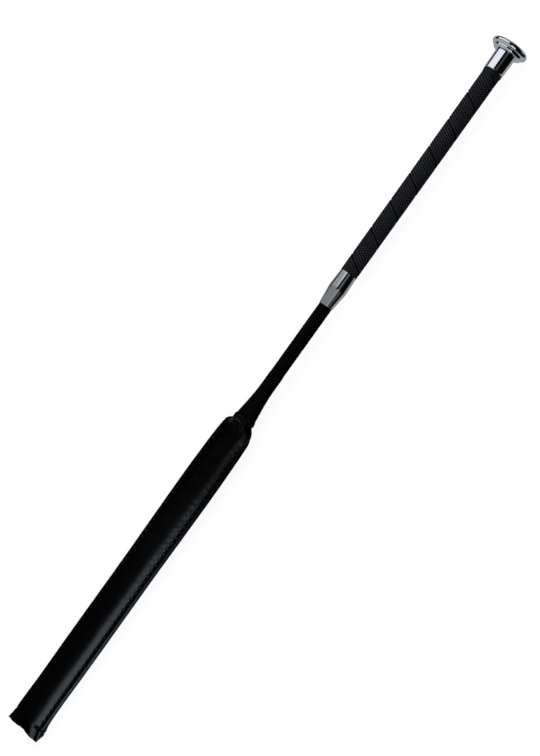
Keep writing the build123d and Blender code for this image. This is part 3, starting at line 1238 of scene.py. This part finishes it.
@dataclass
class PadForm:
    """The pad's outside: a cushion between flat sewn margins, gathered round at the neck.

    The plan says how far the edge stands outside the pad's half width, by the distance back
    from the shoulder, and the tail cut how far forward the tail's end lies across the pad, both
    in millimetres. Each pair of shoulders has the far edge's first.
    """

    stations: Stations
    neck: Neck
    plan: Curve = (
        (0, -0.2), (13, -0.25), (23, 0.2), (60, 0.8), (100, 0.5), (145, 0.1), (215, 0.2),
        (255, 0.0), (278, 0.4), (283.4, 0.4), (285.2, -0.3), (287.2, 0.35), (290, 0.8), (295, 1.9),
    )
    tail_cut: Curve = (
        (-18, 0.7), (-15.7, 0.75), (-12.9, 0.8), (-8.5, 1.4), (-4, 2.0),
        (0, 1.6), (8, 0.4), (12, 0.2), (15.7, -0.6), (18, -0.9),
    )
    wide_shoulders: tuple[Shoulder, Shoulder] = (Shoulder(8 * MM, 2.6), Shoulder(16 * MM, 4.0))
    high_shoulders: tuple[Shoulder, Shoulder] = (Shoulder(9 * MM, 2.4), Shoulder(20 * MM, 3.6))
    shoulder_swell: Bump = Bump(1.6 * MM, 10 * MM, 6 * MM)
    crossover: Span = (0.3, 0.7)
    flat_start: float = 0.5 * MM
    flat_far: float = 15 * MM
    flat_near: float = 32 * MM
    neck_end: Span = (-1.7 * MM, -0.2 * MM)
    neck_release: float = 1.1 * MM
    neck_squeeze: Bump = Bump(0.25 * MM, 3 * MM, -2.9 * MM)
    pleats: int = 13
    pleat: Bump = Bump(0.14 * MM, 6 * MM)
    margin: float = 3.1 * MM
    margin_half: float = 2.0 * MM
    margin_share: float = 0.105
    crown_rise: float = 0.1 * MM
    crown_ease: float = 0.45 * MM
    crown_unevenness: Unevenness = Unevenness(0.12 * MM, 55 * MM, 0.8)
    skin_unevenness: Unevenness = Unevenness(0.07 * MM, 23 * MM)
    tail_half_height: float = 5.2 * MM
    tail_slope: float = 26.0 * MM
    tail_headroom: float = 1.2 * MM
    tail_lead: float = 0.35
    tail_pinch: float = 0.7 * MM
    pinch_length: float = 8.0 * MM
    lower_pinch: float = 0.6 * MM
    lower_draw: float = 0.9 * MM
    corner: Bump = Bump(1.0, 6 * MM, 8.7 * MM)
    corner_draw: float = 1.4 * MM
    corner_lift: float = 1.0 * MM
    cut_length: float = 11 * MM
    cut_unevenness: Unevenness = Unevenness(0.15 * MM, 9 * MM)
    near_spread: float = 0.4 * MM
    spreading: Span = (20 * MM, 60 * MM)
    row_inset: float = 2.8 * MM
    sewing_start: Span = (-6 * MM, -3 * MM)
    sewing_end: Span = (3 * MM, 9 * MM)
    stitch_pitch: float = 5.3 * MM
    stitch_tail_inset: float = 6.0 * MM
    stitch_shoulder_inset: float = 12.0 * MM
    stitch_valley: Bump = Bump(0.32 * MM, 0.75 * MM)
    stitch_hole: Bump = Bump(0.06 * MM, 0.8 * MM)
    stitch_puff: Bump = Bump(0.75 * MM, 0.9 * MM)
    taut_shoulder: Span = (40 * MM, 120 * MM)
    least_slack: float = 0.2
    pucker_depth: float = 0.12 * MM
    pucker_reach: float = 2.2 * MM
    tack_inset: float = 10.0 * MM
    tack_valley: Bump = Bump(0.30 * MM, 1.7 * MM, -1.3 * MM)
    tack_spread: Bump = Bump(1.0, 1.1 * MM)

    def back(self, x: Reading) -> Reading:
        """Distance of a station back from the shoulder."""
        return self.stations.pad_start - x

    def stitch_places(self) -> np.ndarray:
        """Spread the stitches along a seam.

        Returns:
            The middle of each stitch along X.
        """
        first = self.stations.pad_tail + self.stitch_tail_inset
        room = self.back(first) - self.stitch_shoulder_inset
        return first + self.stitch_pitch * (np.arange(int(room / self.stitch_pitch)) + 0.5)

    def opened(
        self, x: np.ndarray, near: Reading, shoulders: tuple[Shoulder, Shoulder]
    ) -> np.ndarray:
        """How far the pad has opened out from the neck to its full size.

        Args:
            x: Stations along the pad.
            near: 0 for the far half, 1 for the near half, between them in the middle.
            shoulders: The far half's form and the near half's.

        Returns:
            0 at the neck to 1 where it is full.
        """
        far_fill, near_fill = (shoulder.opened(self.back(x)) for shoulder in shoulders)
        return far_fill + (near_fill - far_fill) * near

    def neck_radius(self, x: np.ndarray) -> np.ndarray:
        """Outside radius of the leather where it runs up under the thread and the cord.

        Args:
            x: Stations along the neck.

        Returns:
            The radius at each station.
        """
        under = self.neck.binding_radius_at(x) - self.neck.thread_height * 0.8
        freed = self.neck_release * rise(self.back(x), *self.neck_end)
        return under - self.neck_squeeze.at(self.back(x)) + freed

    def half_width(self, x: np.ndarray, near: Reading) -> np.ndarray:
        """Half the pad's width at a station, or the neck's radius above the pad.

        Args:
            x: Stations along the pad.
            near: 0 for the far half, 1 for the near half.

        Returns:
            The distance from the middle to the edge.
        """
        neck = self.neck_radius(x)
        body = self.stations.pad_half_width + smooth_through(self.plan, self.back(x))
        return neck + (body - neck) * self.opened(x, near, self.wide_shoulders)

    def half_height(self, x: np.ndarray, near: Reading) -> np.ndarray:
        """Half the pad's thickness at a station.

        Args:
            x: Stations along the pad.
            near: 0 for the far half, 1 for the near half.

        Returns:
            The distance from the middle plane to the crown.
        """
        neck = self.neck_radius(x)
        swell = self.shoulder_swell.at(self.back(x)) * (1 - near)
        swell = swell + self.crown_unevenness.at(x)
        body = self.stations.pad_half_height + self.crown_rise + swell
        return neck + (body - neck) * self.opened(x, near, self.high_shoulders)

    def pinching(self, x: np.ndarray) -> np.ndarray:
        """How far the edges are pressed together at a station, 1 at the tail."""
        return 1 - rise(x - self.stations.pad_tail, 0.0, self.pinch_length)

    def tail_limit(self, x: np.ndarray) -> np.ndarray:
        """How high the pad may stand where it flattens towards its tail.

        Args:
            x: Stations along the pad.

        Returns:
            The greatest half height at each station.
        """
        low = -self.tail_lead * self.tail_slope
        least = rise(0.0, low, self.tail_slope)
        share = (rise(x - self.stations.pad_tail, low, self.tail_slope) - least) / (1 - least)
        high = self.stations.pad_half_height + self.tail_headroom
        return self.tail_half_height + (high - self.tail_half_height) * share

    def smooth(self, x: np.ndarray, share: np.ndarray, face: Face) -> Skin:
        """Shape one face: round at the neck, then a cushion between two flat margins.

        Args:
            x: Stations along the pad, as a column.
            share: How far round the section from the far edge, as a row from 0 to 1.
            face: Which face.

        Returns:
            The smooth face, with Z away from the middle plane.
        """
        near = rise(share, *self.crossover)
        width, height = self.half_width(x, near), self.half_height(x, near)
        turn = math.pi * share
        ring_y, ring_z = width * np.cos(turn), height * np.sin(turn)
        crown = width - self.margin
        sagitta = np.maximum(height - self.margin_half, MM)
        arc = (crown**2 + sagitta**2) / (2 * sagitta)
        half_angle = np.arcsin(np.clip(crown / arc, -1, 1))
        inside = np.clip((share - self.margin_share) / (1 - 2 * self.margin_share), 0.0, 1.0)
        lean = half_angle * (1 - 2 * inside)
        inwards = np.clip(np.minimum(share, 1 - share) / self.margin_share, 0.0, 1.0)
        pad_y = arc * np.sin(lean) + np.sign(0.5 - share) * self.margin * (1 - inwards)
        pad_z = self.margin_half + arc * (np.cos(lean) - np.cos(half_angle))
        limit = self.tail_limit(x)
        pad_z = limit - self.crown_ease * np.logaddexp(0.0, (limit - pad_z) / self.crown_ease)
        pad_z = np.where(inwards < 1, self.margin_half, np.maximum(pad_z, self.margin_half))
        flat_end = self.flat_far + (self.flat_near - self.flat_far) * near * inwards
        flatness = rise(self.back(x), self.flat_start, flat_end)
        y = ring_y + (pad_y - ring_y) * flatness
        z = ring_z + (pad_z - ring_z) * flatness
        return Skin(face, x, y, z, turn, width, width - self.row_inset, flatness)

    def sew(self, skin: Skin) -> None:
        """Press the stitch rows and the tack into a face, which puckers and puffs beside them.

        Args:
            skin: The face in the making.
        """
        first, *_, last = self.stitch_places()
        sewn = rise(skin.x - first, *self.sewing_start) * skin.flatness
        sewn = sewn * (1 - rise(skin.x - last, *self.sewing_end))
        beat = np.cos(math.tau * (skin.x - first) / self.stitch_pitch)
        held, free = 0.5 + 0.5 * beat, 0.5 - 0.5 * beat
        off_row = np.abs(skin.y) - skin.row
        pressed = held**0.7 * self.stitch_valley.at(off_row) + free**3 * self.stitch_hole.at(off_row)
        fading = np.exp(-np.clip(-off_row, 0.0, None) / self.pucker_reach) * (off_row < 0)
        pucker = self.pucker_depth * beat * fading
        slackening = rise(self.back(skin.x), *self.taut_shoulder)
        slack = self.least_slack + (1 - self.least_slack) * slackening
        puff = slack * free * self.stitch_puff.at(off_row)
        tack = self.tack_spread.at(skin.x - self.stations.pad_tail - self.tack_inset)
        skin.z = skin.z - sewn * (pressed - pucker - puff) - tack * self.tack_valley.at(off_row)

    def gather(self, skin: Skin) -> None:
        """Fold a face where the cord draws it in, and let it run a little uneven.

        Args:
            skin: The face in the making.
        """
        beat = np.cos(self.pleats * skin.turn + 0.9 * np.sin(2 * skin.turn + skin.seed))
        fold = self.pleat.at(self.back(skin.x)) * beat
        length = np.maximum(np.hypot(skin.y, skin.z), MM)
        skin.y = skin.y * (1 + fold / length)
        skin.z = skin.z * (1 + fold / length)
        uneven = self.skin_unevenness.at(skin.x + 0.4 * skin.y, skin.seed)
        skin.z = skin.z + skin.flatness * uneven * (np.abs(skin.y) < skin.row)

    def trim(self, skin: Skin) -> None:
        """Cut a face's tail, spread its near margin and press its margins towards the tail.

        Args:
            skin: The face in the making.
        """
        from_tail = skin.x - self.stations.pad_tail
        cut = smooth_through(self.tail_cut, skin.y) + self.cut_unevenness.at(skin.y, skin.seed)
        skin.x = skin.x + cut * (1 - rise(from_tail, 0.0, self.cut_length))
        margin = rise(np.abs(skin.y), skin.row - 1.0 * MM, skin.width)
        near_margin = margin * (skin.y < 0)
        pinching = self.pinching(skin.x)
        spread = self.near_spread * rise(from_tail, *self.spreading) * skin.flatness
        skin.y = skin.y - near_margin * spread
        skin.z = skin.z - margin * self.tail_pinch * pinching
        if skin.face is Face.LOWER:
            skin.z = skin.z - self.lower_pinch * margin * pinching
            skin.y = skin.y + self.lower_draw * near_margin * pinching
            corner = self.corner.at(from_tail) * rise(-skin.y, 0.6 * skin.row, skin.width)
            skin.y = skin.y - self.corner_draw * corner
            skin.z = skin.z + self.corner_lift * corner

    def section(self, x: np.ndarray, share: np.ndarray, face: Face) -> np.ndarray:
        """The pad's outside on one face, with the marks of its sewing.

        Args:
            x: Stations along the pad, as a column.
            share: How far round the section from the far edge, as a row from 0 to 1.
            face: Which face.

        Returns:
            Points, stations by shares by 3.
        """
        skin = self.smooth(x, share, face)
        self.sew(skin)
        self.gather(skin)
        self.trim(skin)
        return np.stack(np.broadcast_arrays(skin.x, skin.y, skin.z * face.value), -1)

    def on_leather(self, x: float, off_row: float, edge: Edge, face: Face) -> np.ndarray:
        """Find a point on a leather side, a little way from its stitch row.

        Args:
            x: Station along the pad.
            off_row: Distance outwards from the row.
            edge: Which edge the row runs along.
            face: Which face.

        Returns:
            The point.
        """
        station = np.full((1, 1), x)
        shares = np.linspace(0.5 - 0.5 * edge.value, 0.5, 90)[None, :]
        line = self.section(station, shares, face)[0]
        target = self.half_width(station, edge is Edge.NEAR) - self.row_inset + off_row
        return line[np.argmin(np.abs(np.abs(line[:, 1]) - target))]


@dataclass
class Pad:
    """The padded blade: two leather sides over foam, which settle between their stitches."""

    form: PadForm
    drape: Drape = Drape()
    leather: float = 1.5 * MM
    tail_thinning: float = 0.45
    edge_rounding: float = 0.16
    foam_start: float = 1.5 * MM
    foam_gap: float = 0.06 * MM
    foam_edge: float = 0.42 * MM
    foam_setback: float = 0.35 * MM
    sewn_down: float = 0.6 * MM
    sewn_neck: Span = (2 * MM, 14 * MM)
    rows_per_stitch: int = 8
    columns: int = 76
    crowding: float = 0.085

    def stations_along(self) -> np.ndarray:
        """Spread stations closely from the tail up into the neck.

        Returns:
            The stations, as a column.
        """
        start, end = self.form.stations.pad_tail, self.form.stations.leather_start
        count = int((end - start) / (self.form.stitch_pitch / self.rows_per_stitch))
        return np.linspace(start, end, count)[:, None]

    def shares_across(self) -> np.ndarray:
        """Shares round the section, closer together over the margins and the stitch rows."""
        even = np.linspace(0.0, 1.0, self.columns)
        return (even - self.crowding / 2 * np.sin(2 * math.tau * even))[None, :]

    def settled(self, x: np.ndarray, share: np.ndarray, face: Face) -> np.ndarray:
        """How far the leather moves as it settles between its stitches, from a cloth simulation.

        Args:
            x: Stations along the pad, as a column.
            share: Shares round the section, as a row.
            face: Which face.

        Returns:
            The shift of each point, stations by shares by 3.
        """
        rows, columns = x[::2], share[:, ::2]
        sheet = self.form.section(rows, columns, face)
        row = self.form.half_width(rows, sheet[..., 1] < 0) - self.form.row_inset
        beyond = rise(np.abs(sheet[..., 1]), row - self.sewn_down, row)
        ends = np.maximum(1 - rise(self.form.back(rows), *self.sewn_neck), self.form.pinching(rows))
        shift = self.drape.settle(sheet, np.maximum(beyond, ends))
        at_rows = np.minimum(np.arange(len(x)) / 2, len(rows) - 1)
        at_columns = np.interp(share[0], columns[0], np.arange(columns.size))
        return between(between(shift, at_rows).swapaxes(0, 1), at_columns).swapaxes(0, 1)

    def side(self, face: Face) -> bpy.types.Object:
        """Make one leather side, with its real thickness and its cut edges.

        Args:
            face: Which side.

        Returns:
            The piece, not dressed yet.
        """
        x, share = self.stations_along(), self.shares_across()
        outer = self.form.section(x, share, face) + self.settled(x, share, face)
        normal = np.cross(np.gradient(outer, axis=0), np.gradient(outer, axis=1))
        normal /= np.linalg.norm(normal, axis=2, keepdims=True)
        normal *= np.sign((normal * outer)[..., 1:].sum(2).mean())
        normal[:, [0, -1]] = normal[:, [1, -2]]
        thickness = self.leather * (1 - self.tail_thinning * self.form.pinching(x))
        inner = outer - normal * thickness[..., None]
        rounding = self.edge_rounding * self.leather
        rims = []
        for edge, column in ((Edge.FAR, 0), (Edge.NEAR, -1)):
            outwards = np.array([0.0, edge.value * rounding, 0.0])
            lip = normal[:, [column]] * rounding
            rims.append((outer[:, [column]] + outwards - lip, inner[:, [column]] + outwards + lip))
        (far_outer, far_inner), near_rim = rims
        loops = np.concatenate([far_outer, outer, *near_rim, inner[:, ::-1], far_inner], axis=1)
        half = loops.shape[1] // 2
        cut_edge = np.zeros(2 * half, int)
        cut_edge[[0, half - 2, half - 1, half, -2, -1]] = 1
        builder = Builder()
        for loop in builder.sheet(loops, True, cut_edge)[[0, -1], :-1]:
            builder.strip(loop[:half], loop[half:][::-1], 1)
        return builder.mesh(f"pad_{face.name.lower()}_side")

    def padding(self) -> bpy.types.Object:
        """Make the foam between the leather sides, which shows as a thin layer at their edges.

        Returns:
            The piece, not dressed yet.
        """
        x = self.stations_along()[1::2]
        x = x[self.form.back(x[:, 0]) > self.foam_start]
        share = self.shares_across()[:, ::2]
        halves = []
        for face in Face:
            half = self.form.section(x, share, face)
            height = half[..., 2] * face.value - self.leather - self.foam_gap
            half[..., 2] = np.maximum(height, self.foam_edge) * face.value
            half[..., 1] *= 1 - self.foam_setback / self.form.half_width(x, half[..., 1] < 0)
            halves.append(half)
        upper, lower = halves
        return closed_tube("pad_padding", np.concatenate([upper, lower[:, ::-1]], axis=1))

    def build(self) -> None:
        """Make the padding and the leather sides."""
        foam = dress(self.padding(), "grey_foam", [FOAM], "pad_upper_foam", "pad_lower_foam")
        for face in Face:
            leather = f"pad_{face.name.lower()}_leather"
            side = dress(self.side(face), "black_leather", [LEATHER, LEATHER_EDGE], leather)


@dataclass
class Seams:
    """The stitches along both edges of the pad, and the tacks at its tail."""

    form: PadForm
    stitch_length: float = 3.7 * MM
    stitch_radius: float = 0.42 * MM
    stitch_taper: Span = (0.55, 1.0)
    stitch_arch: float = 0.62 * MM
    stitch_bluntness: float = 0.6
    stitch_sink: float = 0.42 * MM
    stitch_slant: float = 0.16 * MM
    tack_half: float = 0.45 * MM
    tack_radius: float = 0.34 * MM
    tack_reach: float = 3.0 * MM
    tack_lift: float = 0.2 * MM
    tack_dip: float = 0.7 * MM
    tack_corner: Span = (0.4 * MM, 0.5 * MM)

    def stitch(self, builder: Builder, middle: np.ndarray, edge: Edge, face: Face) -> None:
        """Add one stitch, arched out of the leather and back in.

        Args:
            builder: The mesh in the making.
            middle: The middle of the stitch on the leather.
            edge: Which edge it runs along.
            face: Which face it shows on.
        """
        t = np.linspace(-0.5, 0.5, 11)
        arch = np.cos(math.pi * t) ** self.stitch_bluntness
        slant = 2 * t * self.stitch_slant * edge.value
        height = face.value * (self.stitch_arch * arch - self.stitch_sink)
        path = middle + np.stack([t * self.stitch_length, slant, height], -1)
        builder.cord(path, self.stitch_radius * np.interp(arch, (0, 1), self.stitch_taper))

    def tack(self, builder: Builder, edge: Edge, strand: float) -> None:
        """Add one loop of the tack that is sewn over the margin's edge.

        Args:
            builder: The mesh in the making.
            edge: Which edge it is sewn over.
            strand: How far this loop lies from the tack's middle along X.
        """
        x = self.form.stations.pad_tail + self.form.tack_inset + strand
        loop = []
        for face in Face:
            reach = np.linspace(-self.tack_reach, self.form.row_inset, 9)
            run = np.array([self.form.on_leather(x, off, edge, face) for off in reach])
            run[:, 2] += face.value * self.tack_lift
            run[0, 2] -= face.value * self.tack_dip
            out, down = self.tack_corner
            corner = run[-1] + [0, edge.value * out, -face.value * down]
            loop.append(np.concatenate([run, corner[None]])[:: face.value])
        builder.cord(np.concatenate(loop), self.tack_radius)

    def seam(self, edge: Edge) -> bpy.types.Object:
        """Sew one edge: its stitches on both faces and the tack near the tail.

        Args:
            edge: Which edge.

        Returns:
            The piece, not dressed yet.
        """
        builder = Builder()
        for face in Face:
            for place in self.form.stitch_places():
                self.stitch(builder, self.form.on_leather(place, 0.0, edge, face), edge, face)
        for strand in (-self.tack_half, self.tack_half):
            self.tack(builder, edge, strand)
        return builder.mesh(f"seam_{edge.name.lower()}")

    def build(self) -> None:
        """Sew both edges."""
        for edge in Edge:
            thread = f"seam_thread_{edge.name.lower()}"
            dress(self.seam(edge), "seam_thread", [SEWING_THREAD], thread)


# ---------------------------------------------------------------- studio
COOL = (0.94, 0.98, 1.03)
BLUE = (0.86, 0.975, 1.14)
WHITE = (1.0, 1.0, 1.0, 1.0)
GREY = (0.30, 0.30, 0.30, 1.0)
BLACK = (0.0, 0.0, 0.0, 1.0)


@dataclass(frozen=True)
class Softbox:
    """A rectangular lamp over the whip.

    It faces a place on the whip's line from a distance (reach), leaning from straight up
    towards +Y (lean), and its face may be turned on its own middle towards +X (turned), both
    in degrees. Its size is along X, and across. Radiance is how bright its face is.
    """

    name: str
    place: float
    lean: float
    reach: float
    size: Span
    radiance: float
    turned: float = 0.0
    colour: Colour = COOL

    def hang(self) -> None:
        """Add the lamp to the scene, unseen by the camera."""
        data = bpy.data.lights.new(self.name, "AREA")
        data.shape = "RECTANGLE"
        data.size, data.size_y = self.size
        data.energy = self.radiance * math.pi * math.prod(self.size)
        data.color = self.colour
        lamp = bpy.data.objects.new(self.name, data)
        lean = math.radians(self.lean)
        away = Vector((0, math.sin(lean), math.cos(lean)))
        lamp.location = Vector((self.place, 0, 0)) + self.reach * away
        lamp.rotation_mode = "ZYX"
        lamp.rotation_euler = (-lean, -math.radians(self.turned), 0)
        lamp.visible_camera = False
        bpy.context.scene.collection.objects.link(lamp)


@dataclass
class Studio:
    """The plain pale floor, the soft lamps and the camera."""

    stations: Stations
    floor_size: float = 9.0
    rest_inset: float = 26 * MM
    rest_gap: float = 0.45 * MM
    paper_glow: float = 0.90
    bright_glow: float = 0.40
    dark_glow: float = 0.004
    sky_fill: float = 0.12
    sky_mirrored: float = 0.003
    tilt: float = math.radians(35)
    roll: float = math.radians(54.42)
    distance: float = 1.21
    lens: float = 73.62
    shift_right: float = 2.14 * MM
    shift_up: float = 7.67 * MM
    lamps: tuple[Softbox, ...] = (
        Softbox("handle_softbox", 0.42, 25.5, 1.1, (0.9, 1.78), 1.12),
        Softbox("ferrule_softbox", -0.155, 25.5, 1.1, (0.25, 1.78), 0.36),
        Softbox("pad_strip", -0.835, -50.5, 0.7, (0.50, 0.46), 2.15, colour=BLUE),
        Softbox("ferrule_strip", -0.14, -46.0, 0.7, (0.18, 0.28), 0.14),
        Softbox("cone_strip", -0.33, -46.0, 0.7, (0.20, 0.28), 0.34),
        Softbox("cap_strip", 0.2, -46.0, 0.7, (0.3, 0.28), 0.05),
        Softbox("ferrule_card", -0.275, 50.0, 0.31, (0.60, 1.2), 0.29, 90.0),
        Softbox("ferrule_side_card", -0.31, -82.0, 0.25, (0.1, 0.16), 0.08),
        Softbox("cap_card", -0.15, 42.0, 0.34, (0.62, 0.40), 0.22, 90.0),
        Softbox("head_card", 1.2, 40.0, 0.6, (1.0, 1.2), 0.35, -90.0),
    )

    def paper(self) -> bpy.types.Material:
        """Make the floor's pale matt paper: white to the camera, softly lit to all else.

        In the whip's own mirror images it is bright only beside the handle and a little way
        beyond the cap, as if the rest lay in the dark.

        Returns:
            The material.
        """
        material = bpy.data.materials.new("paper_floor")
        graph = Graph(material)
        seen, mirrored = graph.rays()
        x, y, _ = graph.axes()
        beside = y.step(-26 * MM, -20 * MM) * x.step(-265 * MM, -245 * MM)
        beyond = y.step(-76 * MM, -68 * MM) * x.step(4 * MM, 14 * MM)
        bright = (beside + beyond).clamped()
        reflected = bright * self.bright_glow + self.dark_glow
        strength = seen * self.paper_glow + mirrored * reflected
        glow = graph.node("ShaderNodeEmission", inputs={"Strength": strength})
        pale = graph.node("ShaderNodeBsdfDiffuse", inputs={"Color": GREY})
        dark = graph.node("ShaderNodeBsdfDiffuse", inputs={"Color": BLACK})
        shaders = {0: mirrored, 1: pale.outputs[0], 2: dark.outputs[0]}
        lit = graph.node("ShaderNodeMixShader", inputs=shaders)
        shaders = {0: lit.outputs[0], 1: glow.outputs[0]}
        graph.end("ShaderNodeOutputMaterial", graph.node("ShaderNodeAddShader", inputs=shaders))
        return material

    def floor(self) -> None:
        """Lay the floor so that the whip rests on its cap's rim and on its pad."""
        lowest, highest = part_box("cap_shell")
        pad_x = self.stations.pad_tail + self.rest_inset
        pad_z = -self.stations.pad_half_height - self.rest_gap
        slope = (pad_z - lowest.z) / (pad_x - highest.x)
        ends = (-self.floor_size / 2, self.floor_size / 2)
        corners = [(x, y, lowest.z + (x - highest.x) * slope) for x in ends for y in ends]
        data = bpy.data.meshes.new("floor")
        data.from_pydata(corners, [], [(0, 2, 3, 1)])
        data.materials.append(self.paper())
        floor = bpy.data.objects.new("floor", data)
        bpy.context.scene.collection.objects.link(floor)

    def surround(self) -> None:
        """Make the world: white to the camera, and only a faint fill for the shadows."""
        world = bpy.data.worlds.new("surround")
        bpy.context.scene.world = world
        graph = Graph(world)
        seen, mirrored = graph.rays()
        fill = (1 - seen - mirrored).clamped() * self.sky_fill
        strength = seen + fill + mirrored * self.sky_mirrored
        sky = graph.node("ShaderNodeBackground", inputs={0: WHITE, 1: strength})
        graph.end("ShaderNodeOutputWorld", sky)

    def camera(self) -> None:
        """Set the camera above the near side, rolled so that the whip runs corner to corner."""
        data = bpy.data.cameras.new("camera")
        data.lens = self.lens
        data.sensor_width = 36.0
        data.clip_start = 0.05
        data.clip_end = 50.0
        camera = bpy.data.objects.new("camera", data)
        middle = Matrix.Translation((self.stations.pad_tail / 2, 0, 0))
        turned = Matrix.Rotation(self.tilt, 4, "X") @ Matrix.Rotation(-self.roll, 4, "Z")
        away = Matrix.Translation((self.shift_right, self.shift_up, self.distance))
        camera.matrix_world = middle @ turned @ away
        bpy.context.scene.collection.objects.link(camera)
        bpy.context.scene.camera = camera

    def build(self) -> None:
        """Set up the whole studio."""
        self.camera()
        self.floor()
        self.surround()
        for softbox in self.lamps:
            softbox.hang()
        bpy.context.scene.view_settings.view_transform = "Standard"
        log.info("set up the studio with %d lamps", len(self.lamps))


def main() -> None:
    """Build the whip piece by piece, then the studio."""
    stations = Stations.from_frame()
    neck = Neck(stations)
    form = PadForm(stations, neck)
    assemblies = (
        Cap(),
        Grip(stations),
        Ferrule(),
        Shaft(stations),
        neck,
        Pad(form),
        Seams(form),
        Studio(stations),
    )
    for assembly in assemblies:
        assembly.build()


if __name__ == "__main__":
    main()
